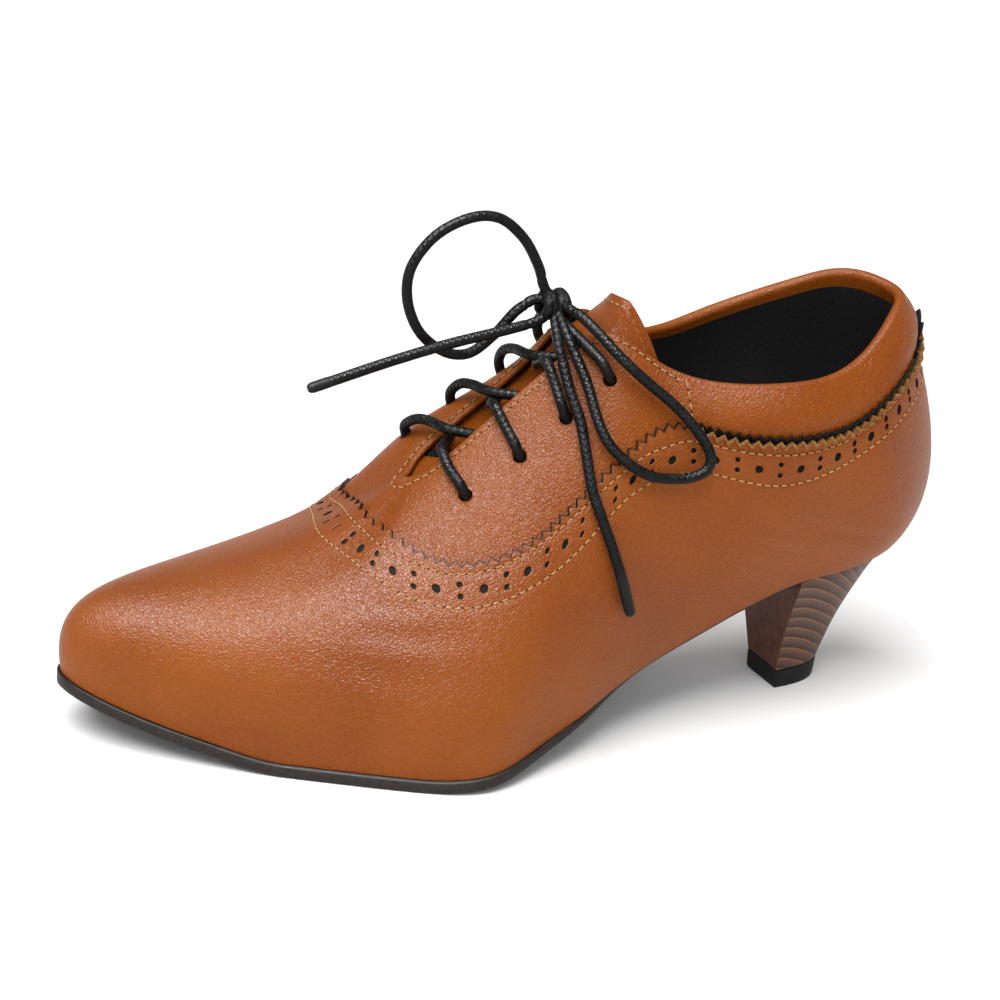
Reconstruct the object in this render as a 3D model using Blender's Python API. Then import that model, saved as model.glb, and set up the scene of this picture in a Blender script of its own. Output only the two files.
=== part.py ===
"""A left lace-up oxford pump with a slim heel, built piece by piece on the form of its last.

Metres, +Z up. +X runs from the heel to the toe and +Y is the outer (lateral) side.
The shoe stands on z = 0, and the origin is under the middle of its box.
Sizes and tables are in millimetres or in shares of the named sizes, and MM turns them to metres.
"""

from collections import namedtuple

import bmesh
import bpy
import numpy as np

MM = 0.001

# Driving sizes
LENGTH = 245.0
BALL_WIDTH = 88.0
INSTEP_HEIGHT = 111.0
HEEL_HEIGHT = 40.5
TOE_SPRING = 13.0

# Thicknesses and gaps
GAP = 0.3
SOLE_THICKNESS = 3.4
SHANK_THICKNESS = 2.2
SOLE_TUCK = 3.0
WALL = 2.4
PANEL_STEP = 0.9
INSOLE_THICKNESS = 1.6
TONGUE_THICKNESS = 1.6
RIM_ROUND = 0.7
LACE = 2.8
EYELET = 3.6
HEEL_TURN = 0.115

# Places along the shoe, as shares of LENGTH from the back of the heel
BREAST_AT = 0.195
FLAT_FROM = 0.655
FLAT_TO = 0.79

# Middle of the shoe's box in millimetres, along and across, where the origin goes
BOX_MIDDLE = (122.85, 5.13)

# Height of the feather line, where the upper meets the sole.
# of_heel is a share of the heel's lift and of_spring one of the toe's.
Level = namedtuple("Level", "along of_heel of_spring")
LEVELS = (
    Level(0.00, 1.200, 0.00),
    Level(0.05, 1.120, 0.00),
    Level(0.11, 1.030, 0.00),
    Level(0.187, 0.945, 0.00),
    Level(0.249, 0.790, 0.00),
    Level(0.300, 0.635, 0.00),
    Level(0.351, 0.500, 0.00),
    Level(0.402, 0.370, 0.00),
    Level(0.463, 0.225, 0.00),
    Level(0.534, 0.095, 0.00),
    Level(0.596, 0.030, 0.00),
    Level(FLAT_FROM, 0.000, 0.00),
    Level(FLAT_TO, 0.000, 0.00),
    Level(0.871, 0.000, 0.29),
    Level(0.932, 0.000, 0.58),
    Level(1.00, 0.000, 1.00),
)

# Sections of the upper, from the back of the heel round to the toe. Each is a curve that
# leaves the feather line and arrives at the opening. along and top_along are shares of LENGTH,
# lateral, medial, top_side, low_out and high_out shares of BALL_WIDTH, and the others up to
# high_drop shares of INSTEP_HEIGHT. low_ and high_ are the pulls at the two ends, and high_turn
# turns the upper one towards the toe, in degrees. inner_rise is how much higher the medial rim
# stands, and inner_lift the same for the pull below it. edge is where the lower panel ends, from
# 0 to 1, and puff is the padding above it in millimetres.
Section = namedtuple(
    "Section",
    "name along lateral medial top_along top_side top_up inner_rise inner_lift"
    " low_out low_up high_out high_drop high_turn edge puff",
)
SECTIONS = (
    Section("back", 0.032, -0.02, 0.02, 0.073, 0, 1.035, 0, 0, 0.15, 0.09, 0.185, 0.29, 0, 0.895, 3),
    Section("quarter", 0.051, 0.118, 0.145, 0.099, 0.138, 1.015, 0.03, 0, 0.1, 0.1, 0.12, 0.28, 0, 0.822, 3),
    Section("heel side", 0.131, 0.21, 0.222, 0.157, 0.234, 0.92, 0.085, 0, 0.1, 0.13, 0.1, 0.24, 0, 0.8, 3),
    Section("waist", 0.249, 0.225, 0.22, 0.253, 0.3, 0.887, 0.03, 0, 0.11, 0.2, 0.1, 0.2, 0, 0.79, 3),
    Section("collar", 0.342, 0.255, 0.225, 0.338, 0.244, 0.892, 0, 0, 0.1, 0.25, 0.12, 0.18, 0, 0.81, 1.6),
    Section("throat", 0.412, 0.315, 0.245, 0.391, 0.188, 0.944, 0, 0.02, 0.09, 0.28, 0.17, 0.17, 0, 0.77, 0),
    Section("facing", 0.461, 0.385, 0.278, 0.44, 0.14, 0.996, -0.01, 0.09, 0.07, 0.3, 0.2, 0.16, 0, 0.655, 0),
    Section("cone", 0.514, 0.455, 0.335, 0.496, 0.098, 0.91, -0.02, 0.17, 0.06, 0.3, 0.24, 0.14, 0, 0.615, 0),
    Section("instep", 0.567, 0.535, 0.4, 0.547, 0.08, 0.803, -0.01, 0.22, 0.03, 0.27, 0.27, 0.14, 0, 0.6, 0),
    Section("ball", 0.628, 0.542, 0.438, 0.608, 0.064, 0.68, 0, 0.23, 0.035, 0.27, 0.27, 0.12, 0, 0.645, 0),
    Section("vamp", 0.742, 0.41, 0.4, 0.632, 0.036, 0.636, 0, 0.06, 0.045, 0.29, 0.35, 0.17, 12, 0.765, 0),
    Section("toe side", 0.922, 0.142, 0.3, 0.641, 0.016, 0.625, 0, 0, 0.055, 0.33, 0.44, 0.328, 24, 0.868, 0),
    Section("toe", 0.996, -0.08, 0.08, 0.643, 0, 0.624, 0, 0, 0.075, 0.35, 0.47, 0.37, 0, 0.908, 0),
)


def soft_line(at, places, values):
    """Monotone curve through values at places, flat where two neighbours are level."""
    places = np.asarray(places, float)
    values = np.asarray(values, float)
    step = np.diff(places)
    rise = np.diff(values) / step
    slope = np.zeros(len(places))
    slope[0] = rise[0]
    slope[-1] = rise[-1]
    for i in range(1, len(places) - 1):
        if rise[i - 1] * rise[i] > 0:
            before = 2 * step[i] + step[i - 1]
            after = step[i] + 2 * step[i - 1]
            slope[i] = (before + after) / (before / rise[i - 1] + after / rise[i])
    at = np.clip(np.asarray(at, float), places[0], places[-1])
    i = np.clip(np.searchsorted(places, at, side="right") - 1, 0, len(step) - 1)
    t = (at - places[i]) / step[i]
    hold = (1 + 2 * t) * (1 - t) ** 2 * values[i] + t * t * (3 - 2 * t) * values[i + 1]
    lean = step[i] * t * (1 - t) * ((1 - t) * slope[i] - t * slope[i + 1])
    return hold + lean


def feather_height(x):
    """Height of the upper's lower edge at x millimetres from the heel's back."""
    ground = SOLE_THICKNESS + GAP
    lift = [ground + row.of_heel * (HEEL_HEIGHT - ground) + row.of_spring * TOE_SPRING for row in LEVELS]
    return soft_line(np.asarray(x) / LENGTH, [row.along for row in LEVELS], lift)


def ring_spline(knots, values, at):
    """Closed cubic spline through values at knots, whose last knot is the first one again."""
    count = len(values)
    span = np.diff(knots)
    before = np.roll(span, 1)
    rise = (np.roll(values, -1, axis=0) - values) / span[:, None]
    system = np.zeros((count, count))
    for i in range(count):
        system[i, i - 1] += before[i]
        system[i, i] += 2 * (before[i] + span[i])
        system[i, (i + 1) % count] += span[i]
    bend = np.linalg.solve(system, 6 * (rise - np.roll(rise, 1, axis=0)))
    at = np.mod(at, knots[-1])
    i = np.clip(np.searchsorted(knots, at, side="right") - 1, 0, count - 1)
    j = (i + 1) % count
    left = (knots[i + 1] - at)[:, None]
    right = (at - knots[i])[:, None]
    width = span[i][:, None]
    curve = (bend[i] * left**3 + bend[j] * right**3) / (6 * width)
    curve += (values[i] / width - bend[i] * width / 6) * left
    curve += (values[j] / width - bend[j] * width / 6) * right
    return curve


def section_controls():
    """Per section round the whole shoe: four control points, then edge and puff."""
    rows = [(row, 1.0, row.lateral) for row in SECTIONS]
    rows += [(row, -1.0, -row.medial) for row in SECTIONS[-2:0:-1]]
    feet = np.array([[row.along * LENGTH, side_of * BALL_WIDTH] for row, _, side_of in rows])
    ahead = np.roll(feet, -1, axis=0) - np.roll(feet, 1, axis=0)
    out = np.stack([-ahead[:, 1], ahead[:, 0]], axis=1)
    out /= np.linalg.norm(out, axis=1)[:, None]
    controls = []
    for (row, side, _), foot, way in zip(rows, feet, out):
        start = np.array([*foot, feather_height(foot[0])])
        rim = row.top_up + (row.inner_rise if side < 0 else 0.0)
        drop = row.high_drop - (row.inner_lift if side < 0 else 0.0)
        top = np.array([row.top_along * LENGTH, side * row.top_side * BALL_WIDTH, rim * INSTEP_HEIGHT])
        outward = np.array([*way, 0.0])
        low = start + outward * row.low_out * BALL_WIDTH
        low[2] += row.low_up * INSTEP_HEIGHT
        turn = -side * np.radians(row.high_turn)
        outward[:2] = np.array([[np.cos(turn), -np.sin(turn)], [np.sin(turn), np.cos(turn)]]) @ way
        high = top + outward * row.high_out * BALL_WIDTH
        high[2] -= drop * INSTEP_HEIGHT
        controls.append([*start, *low, *high, *top, row.edge, row.puff])
    return np.array(controls)


CONTROLS = section_controls()
FEET_STEP = np.linalg.norm(np.roll(CONTROLS[:, 0:3], -1, axis=0) - CONTROLS[:, 0:3], axis=1)
TOP_STEP = np.linalg.norm(np.roll(CONTROLS[:, 9:12], -1, axis=0) - CONTROLS[:, 9:12], axis=1)
KNOTS = np.concatenate([[0.0], np.cumsum(0.5 * (FEET_STEP + TOP_STEP))])
ROUND = KNOTS[-1]


def place(section, medial=False):
    """Where a section, counted from the heel back, lies round the shoe; parts of one lie between two."""
    section = np.asarray(section, float)
    rows = len(CONTROLS) - section if medial else section
    return np.interp(rows, np.arange(len(KNOTS)), KNOTS)


def upper_rows(around):
    """Control points (n, 4, 3), edge (n) and puff (n) at places round the shoe."""
    rows = ring_spline(KNOTS, CONTROLS, np.asarray(around, float))
    points = rows[:, :12].reshape(-1, 4, 3)
    points[:, :2, 2] += (feather_height(points[:, 0, 0]) - points[:, 0, 2])[:, None]
    return points, rows[:, 12], rows[:, 13]


def on_sections(points, up):
    """Points on the sections at shares up (n, m) of the way from feather line to opening."""
    t = up[..., None]
    p = points[:, None]
    return (
        (1 - t) ** 3 * p[:, :, 0]
        + 3 * t * (1 - t) ** 2 * p[:, :, 1]
        + 3 * t * t * (1 - t) * p[:, :, 2]
        + t**3 * p[:, :, 3]
    )


def unit(vectors):
    return vectors / np.linalg.norm(vectors, axis=-1, keepdims=True)


def last_surface(around, up):
    """Points and outward normals of the last at places around (n) and shares up (n, m)."""
    nudge = 0.02
    points = on_sections(upper_rows(around)[0], up)
    along = on_sections(upper_rows(np.asarray(around) + nudge)[0], up)
    along = along - on_sections(upper_rows(np.asarray(around) - nudge)[0], up)
    climb = on_sections(upper_rows(around)[0], np.minimum(up + 0.001, 1.0))
    climb = climb - on_sections(upper_rows(around)[0], np.maximum(up - 0.001, 0.0))
    return points, unit(np.cross(climb, along))


def mesh_object(name, points, faces, colour, roughness, smooth=True):
    """An object from points in millimetres, measured from the heel's back on the floor."""
    shift = np.array([-BOX_MIDDLE[0], -BOX_MIDDLE[1], 0.0])
    mesh = bpy.data.meshes.new(name)
    mesh.from_pydata(((np.asarray(points) + shift) * MM).tolist(), [], faces)
    mesh.validate()
    tidy = bmesh.new()
    tidy.from_mesh(mesh)
    bmesh.ops.recalc_face_normals(tidy, faces=tidy.faces)
    tidy.to_mesh(mesh)
    tidy.free()
    if smooth:
        mesh.shade_smooth()
        mesh.set_sharp_from_angle(angle=0.7)
    mesh.materials.append(plain_material(name, colour, roughness))
    made = bpy.data.objects.new(name, mesh)
    bpy.context.scene.collection.objects.link(made)
    return made


def plain_material(name, colour, roughness):
    material = bpy.data.materials.new(name)
    material.use_nodes = True
    shader = material.node_tree.nodes["Principled BSDF"]
    shader.inputs["Base Color"].default_value = (*colour, 1.0)
    shader.inputs["Roughness"].default_value = roughness
    shader.inputs["Metallic"].default_value = 0.0
    return material


def tube_faces(rings, per_ring, closed_along=False):
    """Quads of a skin over rings of equal count, with flat caps where it doesn't close on itself."""
    faces = []
    for i in range(rings if closed_along else rings - 1):
        a = i * per_ring
        b = (i + 1) % rings * per_ring
        for j in range(per_ring):
            k = (j + 1) % per_ring
            faces.append((a + j, b + j, b + k, a + k))
    if not closed_along:
        faces.append(tuple(range(per_ring)))
        faces.append(tuple((rings - 1) * per_ring + j for j in reversed(range(per_ring))))
    return faces


# Rows above the panel's edge, from the edge (0) to the rim (1)
TOP_ROWS = np.array([0.0, 0.18, 0.45, 0.75, 1.0])


def top_rows(around):
    """Rows of the outer face above the panel's edge: a step down, then the padding's swell."""
    edge, puff = upper_rows(around)[1:]
    points, normals = last_surface(around, edge[:, None] + TOP_ROWS * (1 - edge[:, None]))
    swell = np.sin(np.pi * 0.8 * TOP_ROWS**0.7)
    return points + normals * (puff[:, None] * swell - PANEL_STEP)[..., None]


def upper_skin(columns, panel_rows):
    """Rings of the upper's wall: round each section go the outer face, the rim and the lining face."""
    around = np.arange(columns) / columns * ROUND
    edge = upper_rows(around)[1][:, None]
    low = edge * np.linspace(0, 1, panel_rows) ** 0.9
    up = np.concatenate([low, edge + TOP_ROWS[1:] * (1 - edge)], axis=1)
    points, normals = last_surface(around, up)
    outer = np.concatenate([points[:, :panel_rows], top_rows(around)], axis=1)
    inner = points - normals * WALL
    inner[:, 0, 2] = feather_height(inner[:, 0, 0])
    inner[:, 0, :2] = points[:, 0, :2] - unit(normals[:, 0, :2]) * WALL
    crown = unit(points[:, -1] - points[:, -2])
    rim = 0.5 * (outer[:, -1] + inner[:, -1]) + crown * RIM_ROUND
    return np.concatenate([outer, rim[:, None], inner[:, ::-1]], axis=1)


def make_upper():
    columns = 92
    skin = upper_skin(columns, 9)
    upper = mesh_object(
        "upper",
        skin.reshape(-1, 3),
        tube_faces(columns, skin.shape[1], closed_along=True),
        (0.43, 0.12, 0.024),
        0.42,
    )
    for i, hole in enumerate(EYELETS):
        for medial in (False, True):
            punch_eyelet(upper, hole, medial, f"punch_{i + 1}_{'medial' if medial else 'lateral'}")
    return upper


# Eyelets from the toe end up, by section and share of the way up it. The medial ones lie ahead.
INNER_AHEAD = 0.45
Eyelet = namedtuple("Eyelet", "section up")
EYELETS = (
    Eyelet(8.70, 0.83),
    Eyelet(7.98, 0.84),
    Eyelet(7.12, 0.84),
    Eyelet(6.26, 0.855),
)
LEADS = (0.22, 0.08, -0.06, 0.14)


def facing_point(section, up, medial):
    """Place and outward way on a facing, by the lateral side's sections."""
    ahead = INNER_AHEAD if medial else 0.0
    points, normals = last_surface(place([section + ahead], medial), np.array([[up]]))
    return points[0, 0], normals[0, 0]


def punch_eyelet(upper, hole, medial, name):
    """Cut one eyelet square to the facing."""
    middle, way = facing_point(hole.section, hole.up, medial)
    side = unit(np.cross(way, [1.0, 0.0, 0.0]))
    other = np.cross(way, side)
    turn = np.linspace(0, 2 * np.pi, 12, endpoint=False)[:, None]
    ring = 0.5 * EYELET * (np.cos(turn) * side + np.sin(turn) * other)
    rings = np.concatenate([middle + way * 3.0 + ring, middle - way * (WALL + 2.0) + ring])
    cutter = mesh_object(name, rings, tube_faces(2, 12), (0.1, 0.1, 0.1), 0.5, smooth=False)
    cutter.hide_render = True
    cutter.display_type = "WIRE"
    cut = upper.modifiers.new(name, "BOOLEAN")
    cut.operation = "DIFFERENCE"
    cut.solver = "EXACT"
    cut.object = cutter


def plan_outline(outset, count=400):
    """Lateral and medial widths along x of the feather line moved outward, as two (x, y) curves."""
    around = np.linspace(0, ROUND, 2 * count, endpoint=False)
    feet = upper_rows(around)[0][:, 0, :2]
    ahead = np.roll(feet, -1, axis=0) - np.roll(feet, 1, axis=0)
    feet = feet + unit(np.stack([-ahead[:, 1], ahead[:, 0]], axis=1)) * outset
    back = np.argmin(feet[:, 0])
    feet = np.roll(feet, -back, axis=0)
    tip = np.argmax(feet[:, 0])
    return feet[: tip + 1], np.concatenate([feet[tip:], feet[:1]])[::-1]


def widths_at(x, outset):
    lateral, medial = plan_outline(outset)
    return np.interp(x, lateral[:, 0], lateral[:, 1]), np.interp(x, medial[:, 0], medial[:, 1])


def slab(stations, outset, top_of, bottom_of, bevel, lean, tuck):
    """Rings of a sole board: at each station the top edge, its bevelled side and the underside.

    lean is how far each ring turns from square, as x per y, and tuck how far its sides are drawn in.
    """
    corners = []
    for side, inward in ((0, -tuck), (1, tuck)):
        wide = stations - lean * widths_at(stations, outset)[side]
        y = widths_at(wide, outset)[side] + inward
        low = widths_at(np.minimum(wide, stations[-1] - bevel), outset - bevel)[side] + inward
        middle = 0.5 * (widths_at(wide, outset)[0] + widths_at(wide, outset)[1])
        low = np.maximum(low, middle + 0.2) if side == 0 else np.minimum(low, middle - 0.2)
        top = top_of(wide)
        bottom = bottom_of(wide)
        mid = bottom + np.minimum(bevel, 0.5 * (top - bottom))
        corners.append([np.stack([wide, at, z], axis=1) for at, z in ((y, top), (y, mid), (low, bottom))])
    return np.stack(corners[0] + corners[1][::-1], axis=1)


def sole_top(x):
    return feather_height(x) - GAP


def sole_bottom(x):
    """Underside of the outsole: level on the floor under the ball, thinner along the shank."""
    shares = (BREAST_AT, 0.40, FLAT_FROM - 0.04, 1.0)
    thick = (SHANK_THICKNESS, SHANK_THICKNESS, SOLE_THICKNESS, SOLE_THICKNESS)
    return sole_top(x) - soft_line(np.asarray(x) / LENGTH, shares, thick)


def make_outsole():
    overhang = 0.9
    tip = plan_outline(overhang)[0][-1, 0]
    shank = np.linspace(BREAST_AT * LENGTH + 2 * GAP, FLAT_FROM * LENGTH, 16)
    flat = np.linspace(FLAT_FROM, FLAT_TO, 8)[1:] * LENGTH
    crowded = np.sin(0.5 * np.pi * np.linspace(0, 1, 18)[1:])
    toe = FLAT_TO * LENGTH + (tip - 0.15 - FLAT_TO * LENGTH) * crowded
    stations = np.concatenate([shank, flat, toe])
    lean = soft_line(stations / LENGTH, (0.0, BREAST_AT, 0.40, 1.0), (HEEL_TURN, HEEL_TURN, 0.0, 0.0))
    tuck = SOLE_TUCK * soft_line(stations / LENGTH, (0.0, 0.37, 0.50, 1.0), (1.0, 1.0, 0.0, 0.0))
    rings = slab(stations, overhang, sole_top, sole_bottom, 0.8, lean, tuck)
    faces = tube_faces(*rings.shape[:2])
    return mesh_object("outsole", rings.reshape(-1, 3), faces, (0.03, 0.026, 0.024), 0.6)


def make_insole():
    inset = -(WALL + GAP + 0.3)
    lateral = plan_outline(inset)[0]
    crowded = 0.5 - 0.5 * np.cos(np.pi * np.linspace(0, 1, 44))
    stations = lateral[0, 0] + 0.3 + (lateral[-1, 0] - lateral[0, 0] - 0.6) * crowded
    straight = np.zeros(len(stations))

    def bottom(x):
        return feather_height(x) + GAP

    def top(x):
        return bottom(x) + INSOLE_THICKNESS

    rings = slab(stations, inset, top, bottom, 0.3, straight, straight)
    faces = tube_faces(*rings.shape[:2])
    return mesh_object("insole", rings.reshape(-1, 3), faces, (0.012, 0.012, 0.013), 0.85)


# Sections of the heel: height as a share of HEEL_HEIGHT, the back, the breast and half the width
# in millimetres. The top row follows the seat.
HeelRow = namedtuple("HeelRow", "height back breast half_width")
HEEL_ROWS = (
    HeelRow(0.145, 27.5, 44.8, 7.4),
    HeelRow(0.270, 25.9, 45.3, 8.6),
    HeelRow(0.420, 23.9, 45.8, 10.2),
    HeelRow(0.570, 21.3, 46.4, 12.2),
    HeelRow(0.720, 17.9, 47.0, 14.4),
    HeelRow(0.860, 13.9, 47.5, 16.6),
    HeelRow(0.940, 10.5, 47.8, 17.8),
    HeelRow(1.000, 8.9, 47.8, 18.3),
)
TIP_ROWS = (
    HeelRow(0.000, 28.2, 44.3, 6.9),
    HeelRow(0.015, 27.9, 44.6, 7.2),
    HeelRow(0.137, 27.5, 44.8, 7.4),
)


def heel_ring(row, count=25, fullness=2.05):
    """D-shaped ring of the heel, turned so that the medial corner of its breast is ahead."""
    turn = np.linspace(-0.5 * np.pi, 0.5 * np.pi, count)
    x = row.breast - (row.breast - row.back) * np.cos(turn) ** (2 / fullness)
    y = row.half_width * np.sign(turn) * np.abs(np.sin(turn)) ** (2 / fullness)
    middle = 0.5 * (TIP_ROWS[0].back + TIP_ROWS[0].breast)
    c, s = np.cos(HEEL_TURN), np.sin(HEEL_TURN)
    along = middle + c * (x - middle) - s * y
    across = s * (x - middle) + c * y
    up = row.height * HEEL_HEIGHT + row.height**3 * (sole_top(along) - HEEL_HEIGHT)
    return np.stack([along, across, up], axis=1)


def strip_cap(first, count, flip):
    """Quads across a ring that is the same on both sides, so that the cap bends only along x."""
    faces = []
    for i in range(count // 2):
        a, b = first + i, first + i + 1
        c, d = first + count - 2 - i, first + count - 1 - i
        face = (a, b, c, d) if b != c else (a, b, d)
        faces.append(face[::-1] if flip else face)
    return faces


def stack_of_rings(name, rings, colour, roughness):
    count = len(rings[0])
    faces = tube_faces(len(rings), count)[:-2]
    faces += strip_cap(0, count, True)
    faces += strip_cap((len(rings) - 1) * count, count, False)
    return mesh_object(name, np.concatenate(rings), faces, colour, roughness)


def make_heel():
    rings = [heel_ring(row) for row in HEEL_ROWS]
    return stack_of_rings("heel", rings, (0.10, 0.05, 0.03), 0.45)


def make_heel_tip():
    rings = [heel_ring(row) for row in TIP_ROWS]
    return stack_of_rings("heel_tip", rings, (0.012, 0.012, 0.012), 0.6)


# The tongue's end above the facings: how far it leans back and rises at its middle and sides, in
# millimetres, and the share of its width that it loses
TongueTop = namedtuple("TongueTop", "lean side_lean rise side_rise narrow")
TONGUE_TOP = TongueTop(4.5, 12.0, 9.5, 6.0, 0.36)


def tongue_sheet(stations, depth):
    """Rows of points across the tongue, depth below the lining of the facings."""
    shares = np.array([0.80, 0.87, 0.94, 1.0])
    up = np.tile(shares, (stations, 1))
    sides = []
    for medial in (False, True):
        points, normals = last_surface(place(np.linspace(9.3, 6.0, stations), medial), up)
        sides.append(points - normals * (WALL + depth))
    lateral, medial = sides
    middle = 0.5 * (lateral[:, -1] + medial[:, -1])
    rows = np.concatenate([lateral, middle[:, None], medial[:, ::-1]], axis=1)
    last = rows[-1]
    aside = np.abs(last[:, 1]) / np.abs(last[:, 1]).max()
    lean = TONGUE_TOP.lean + (TONGUE_TOP.side_lean - TONGUE_TOP.lean) * aside
    rise = TONGUE_TOP.rise + (TONGUE_TOP.side_rise - TONGUE_TOP.rise) * aside
    edge = last + np.stack([-lean, -TONGUE_TOP.narrow * last[:, 1], rise], axis=1)
    steps = [last + (edge - last) * share for share in (0.4, 0.75, 1.0)]
    return np.concatenate([rows, steps])


def make_tongue():
    stations = 11
    outer = tongue_sheet(stations, GAP + 0.2)
    inner = tongue_sheet(stations, GAP + 0.2 + TONGUE_THICKNESS)
    rings = np.concatenate([outer, inner[:, ::-1]], axis=1)
    return mesh_object(
        "tongue", rings.reshape(-1, 3), tube_faces(*rings.shape[:2]), (0.43, 0.12, 0.024), 0.45
    )


def make_collar_trim():
    """Gimped strip that leans on the padding above the panel's edge, from facing to facing."""
    pitch = 3.0
    ends = 4.45
    first = place(ends, True)
    last = place(ends) + ROUND
    teeth = int((last - first) / pitch)
    around = np.linspace(first, last, 2 * teeth + 1)
    rows = top_rows(around)
    base = rows[:, 0]
    rise = rows[:, 1] - base
    along = np.roll(base, -1, axis=0) - np.roll(base, 1, axis=0)
    along[0] = base[1] - base[0]
    along[-1] = base[-1] - base[-2]
    out = unit(np.cross(rise, along))
    tip = np.where(np.arange(len(around)) % 2 == 0, 0.62, 1.05)[:, None]
    foot = base + 0.25 * rise
    head = base + tip * rise
    rings = [foot + out * 0.4, head + out * 0.4, head + out * 1.3, foot + out * 1.3]
    return mesh_object(
        "collar_trim",
        np.stack(rings, axis=1).reshape(-1, 3),
        tube_faces(len(around), 4),
        (0.03, 0.024, 0.018),
        0.7,
        smooth=False,
    )


def smooth_route(points, count):
    """count places on a rounded curve through route points."""
    points = np.asarray(points, float)
    ends = np.concatenate([[2 * points[0] - points[1]], points, [2 * points[-1] - points[-2]]])
    t = np.linspace(0, len(points) - 1, count)
    i = np.minimum(t.astype(int), len(points) - 2)
    u = (t - i)[:, None]
    a, b, c, d = (ends[i + k] for k in range(4))
    return b + 0.5 * u * (c - a + u * (2 * a - 5 * b + 4 * c - d + u * (3 * (b - c) + d - a)))


def swept_tube(name, route, count):
    """Round bar along a route, eight-sided."""
    path = smooth_route(route, count)
    way = unit(np.gradient(path, axis=0))
    side = unit(np.cross(way, [0.3, 0.0, 1.0]))
    other = np.cross(way, side)
    turn = np.linspace(0, 2 * np.pi, 8, endpoint=False)[None, :, None]
    rings = path[:, None] + 0.5 * LACE * (np.cos(turn) * side[:, None] + np.sin(turn) * other[:, None])
    return mesh_object(name, rings.reshape(-1, 3), tube_faces(count, 8), (0.013, 0.013, 0.014), 0.55)


def strand(hole, lead, beyond, medial):
    """Route of a lace out of its eyelet, over the facing and across the slit.

    lead is how many sections nearer the toe it goes over the facing's edge, and beyond the same
    for the edge across the slit. The medial one stands off.
    """
    proud = 0.5 * LACE + 0.6
    loose = 1.8 if medial else 0.0
    start, way = facing_point(hole.section, hole.up + 0.02, medial)
    ridge, lift = facing_point(hole.section + 0.6 * lead, 0.93, medial)
    crest, _ = facing_point(hole.section + lead, 1.0, medial)
    across, _ = facing_point(hole.section + beyond, 1.0, not medial)
    rise = np.array([0.35, 0.0, 0.94])
    middle = 0.5 * (crest + across) + rise
    far = across + rise + unit(crest - across) * 2.2
    return [start + way * proud, ridge + lift * (proud + loose), crest + rise * (2.2 + loose), middle, far]


def make_lace_crossings():
    """Two strands of lace joined where they cross, for each pair of eyelets."""
    for i, (hole, lead) in enumerate(zip(EYELETS, LEADS)):
        name = f"lace_crossing_{i + 1}"
        over = swept_tube(name, strand(hole, lead, -0.5, False), 11)
        under = swept_tube(f"{name}_medial", strand(hole, -0.35, -0.15, True), 11)
        under.hide_render = True
        under.display_type = "WIRE"
        join = over.modifiers.new("join", "BOOLEAN")
        join.operation = "UNION"
        join.solver = "EXACT"
        join.object = under


# Routes of the bow, in millimetres from the heel's back, along, to the lateral side and up
Stop = namedtuple("Stop", "along side up")
LOOP_UP = (
    Stop(122.0, -2.0, 120.6),
    Stop(123.4, -2.0, 124.6),
    Stop(128.0, -2.0, 132.0),
    Stop(135.0, -2.0, 137.6),
    Stop(143.0, -2.0, 138.0),
    Stop(152.0, -2.0, 133.6),
    Stop(158.0, -2.0, 125.4),
    Stop(158.4, -2.0, 116.5),
    Stop(154.5, -2.0, 107.8),
    Stop(147.5, -2.0, 102.2),
    Stop(140.5, -2.0, 101.4),
    Stop(134.0, -2.0, 106.2),
    Stop(129.0, -2.0, 112.0),
    Stop(125.2, -2.0, 114.8),
)
LOOP_SIDE = (
    Stop(116.0, 5.4, 114.8),
    Stop(114.5, 9.4, 114.2),
    Stop(111.8, 14.8, 111.6),
    Stop(108.5, 19.4, 107.9),
    Stop(104.5, 22.2, 104.2),
    Stop(99.7, 23.6, 100.2),
    Stop(94.6, 25.2, 96.2),
    Stop(90.0, 27.3, 91.8),
    Stop(86.0, 29.4, 86.8),
    Stop(83.8, 30.8, 82.2),
    Stop(85.0, 31.0, 78.6),
    Stop(89.0, 31.0, 77.0),
    Stop(94.5, 31.0, 77.0),
    Stop(100.5, 31.0, 78.2),
    Stop(106.0, 30.2, 81.2),
    Stop(110.6, 27.8, 85.2),
    Stop(112.9, 25.2, 89.2),
    Stop(114.0, 21.8, 93.6),
    Stop(115.0, 17.4, 99.4),
    Stop(117.2, 11.6, 106.4),
)
END_FRONT = (
    Stop(125.4, 1.5, 110.2),
    Stop(134.0, 2.0, 108.5),
    Stop(148.0, 2.0, 105.6),
    Stop(163.0, 2.3, 101.8),
    Stop(178.0, 2.6, 97.4),
    Stop(185.0, 3.0, 95.5),
)
END_SIDE = (
    Stop(119.9, 10.6, 104.2),
    Stop(118.9, 16.0, 97.0),
    Stop(117.3, 21.2, 90.2),
    Stop(116.8, 25.2, 84.0),
    Stop(116.0, 30.2, 75.0),
    Stop(113.8, 33.3, 68.0),
    Stop(111.0, 35.3, 60.6),
    Stop(108.0, 36.2, 52.6),
    Stop(103.8, 35.6, 41.0),
)
Wrap = namedtuple("Wrap", "first last side up radius turns")
KNOT = Wrap(115.0, 121.6, -1.0, 114.2, 3.1, 1.9)


def knot_route():
    """The knot's wraps round the bow."""
    t = np.linspace(0, 1, 17)
    turn = 2 * np.pi * KNOT.turns * t
    along = KNOT.first + (KNOT.last - KNOT.first) * t
    side = KNOT.side + KNOT.radius * np.sin(turn)
    return np.stack([along, side, KNOT.up - KNOT.radius * np.cos(turn)], axis=1)


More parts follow.
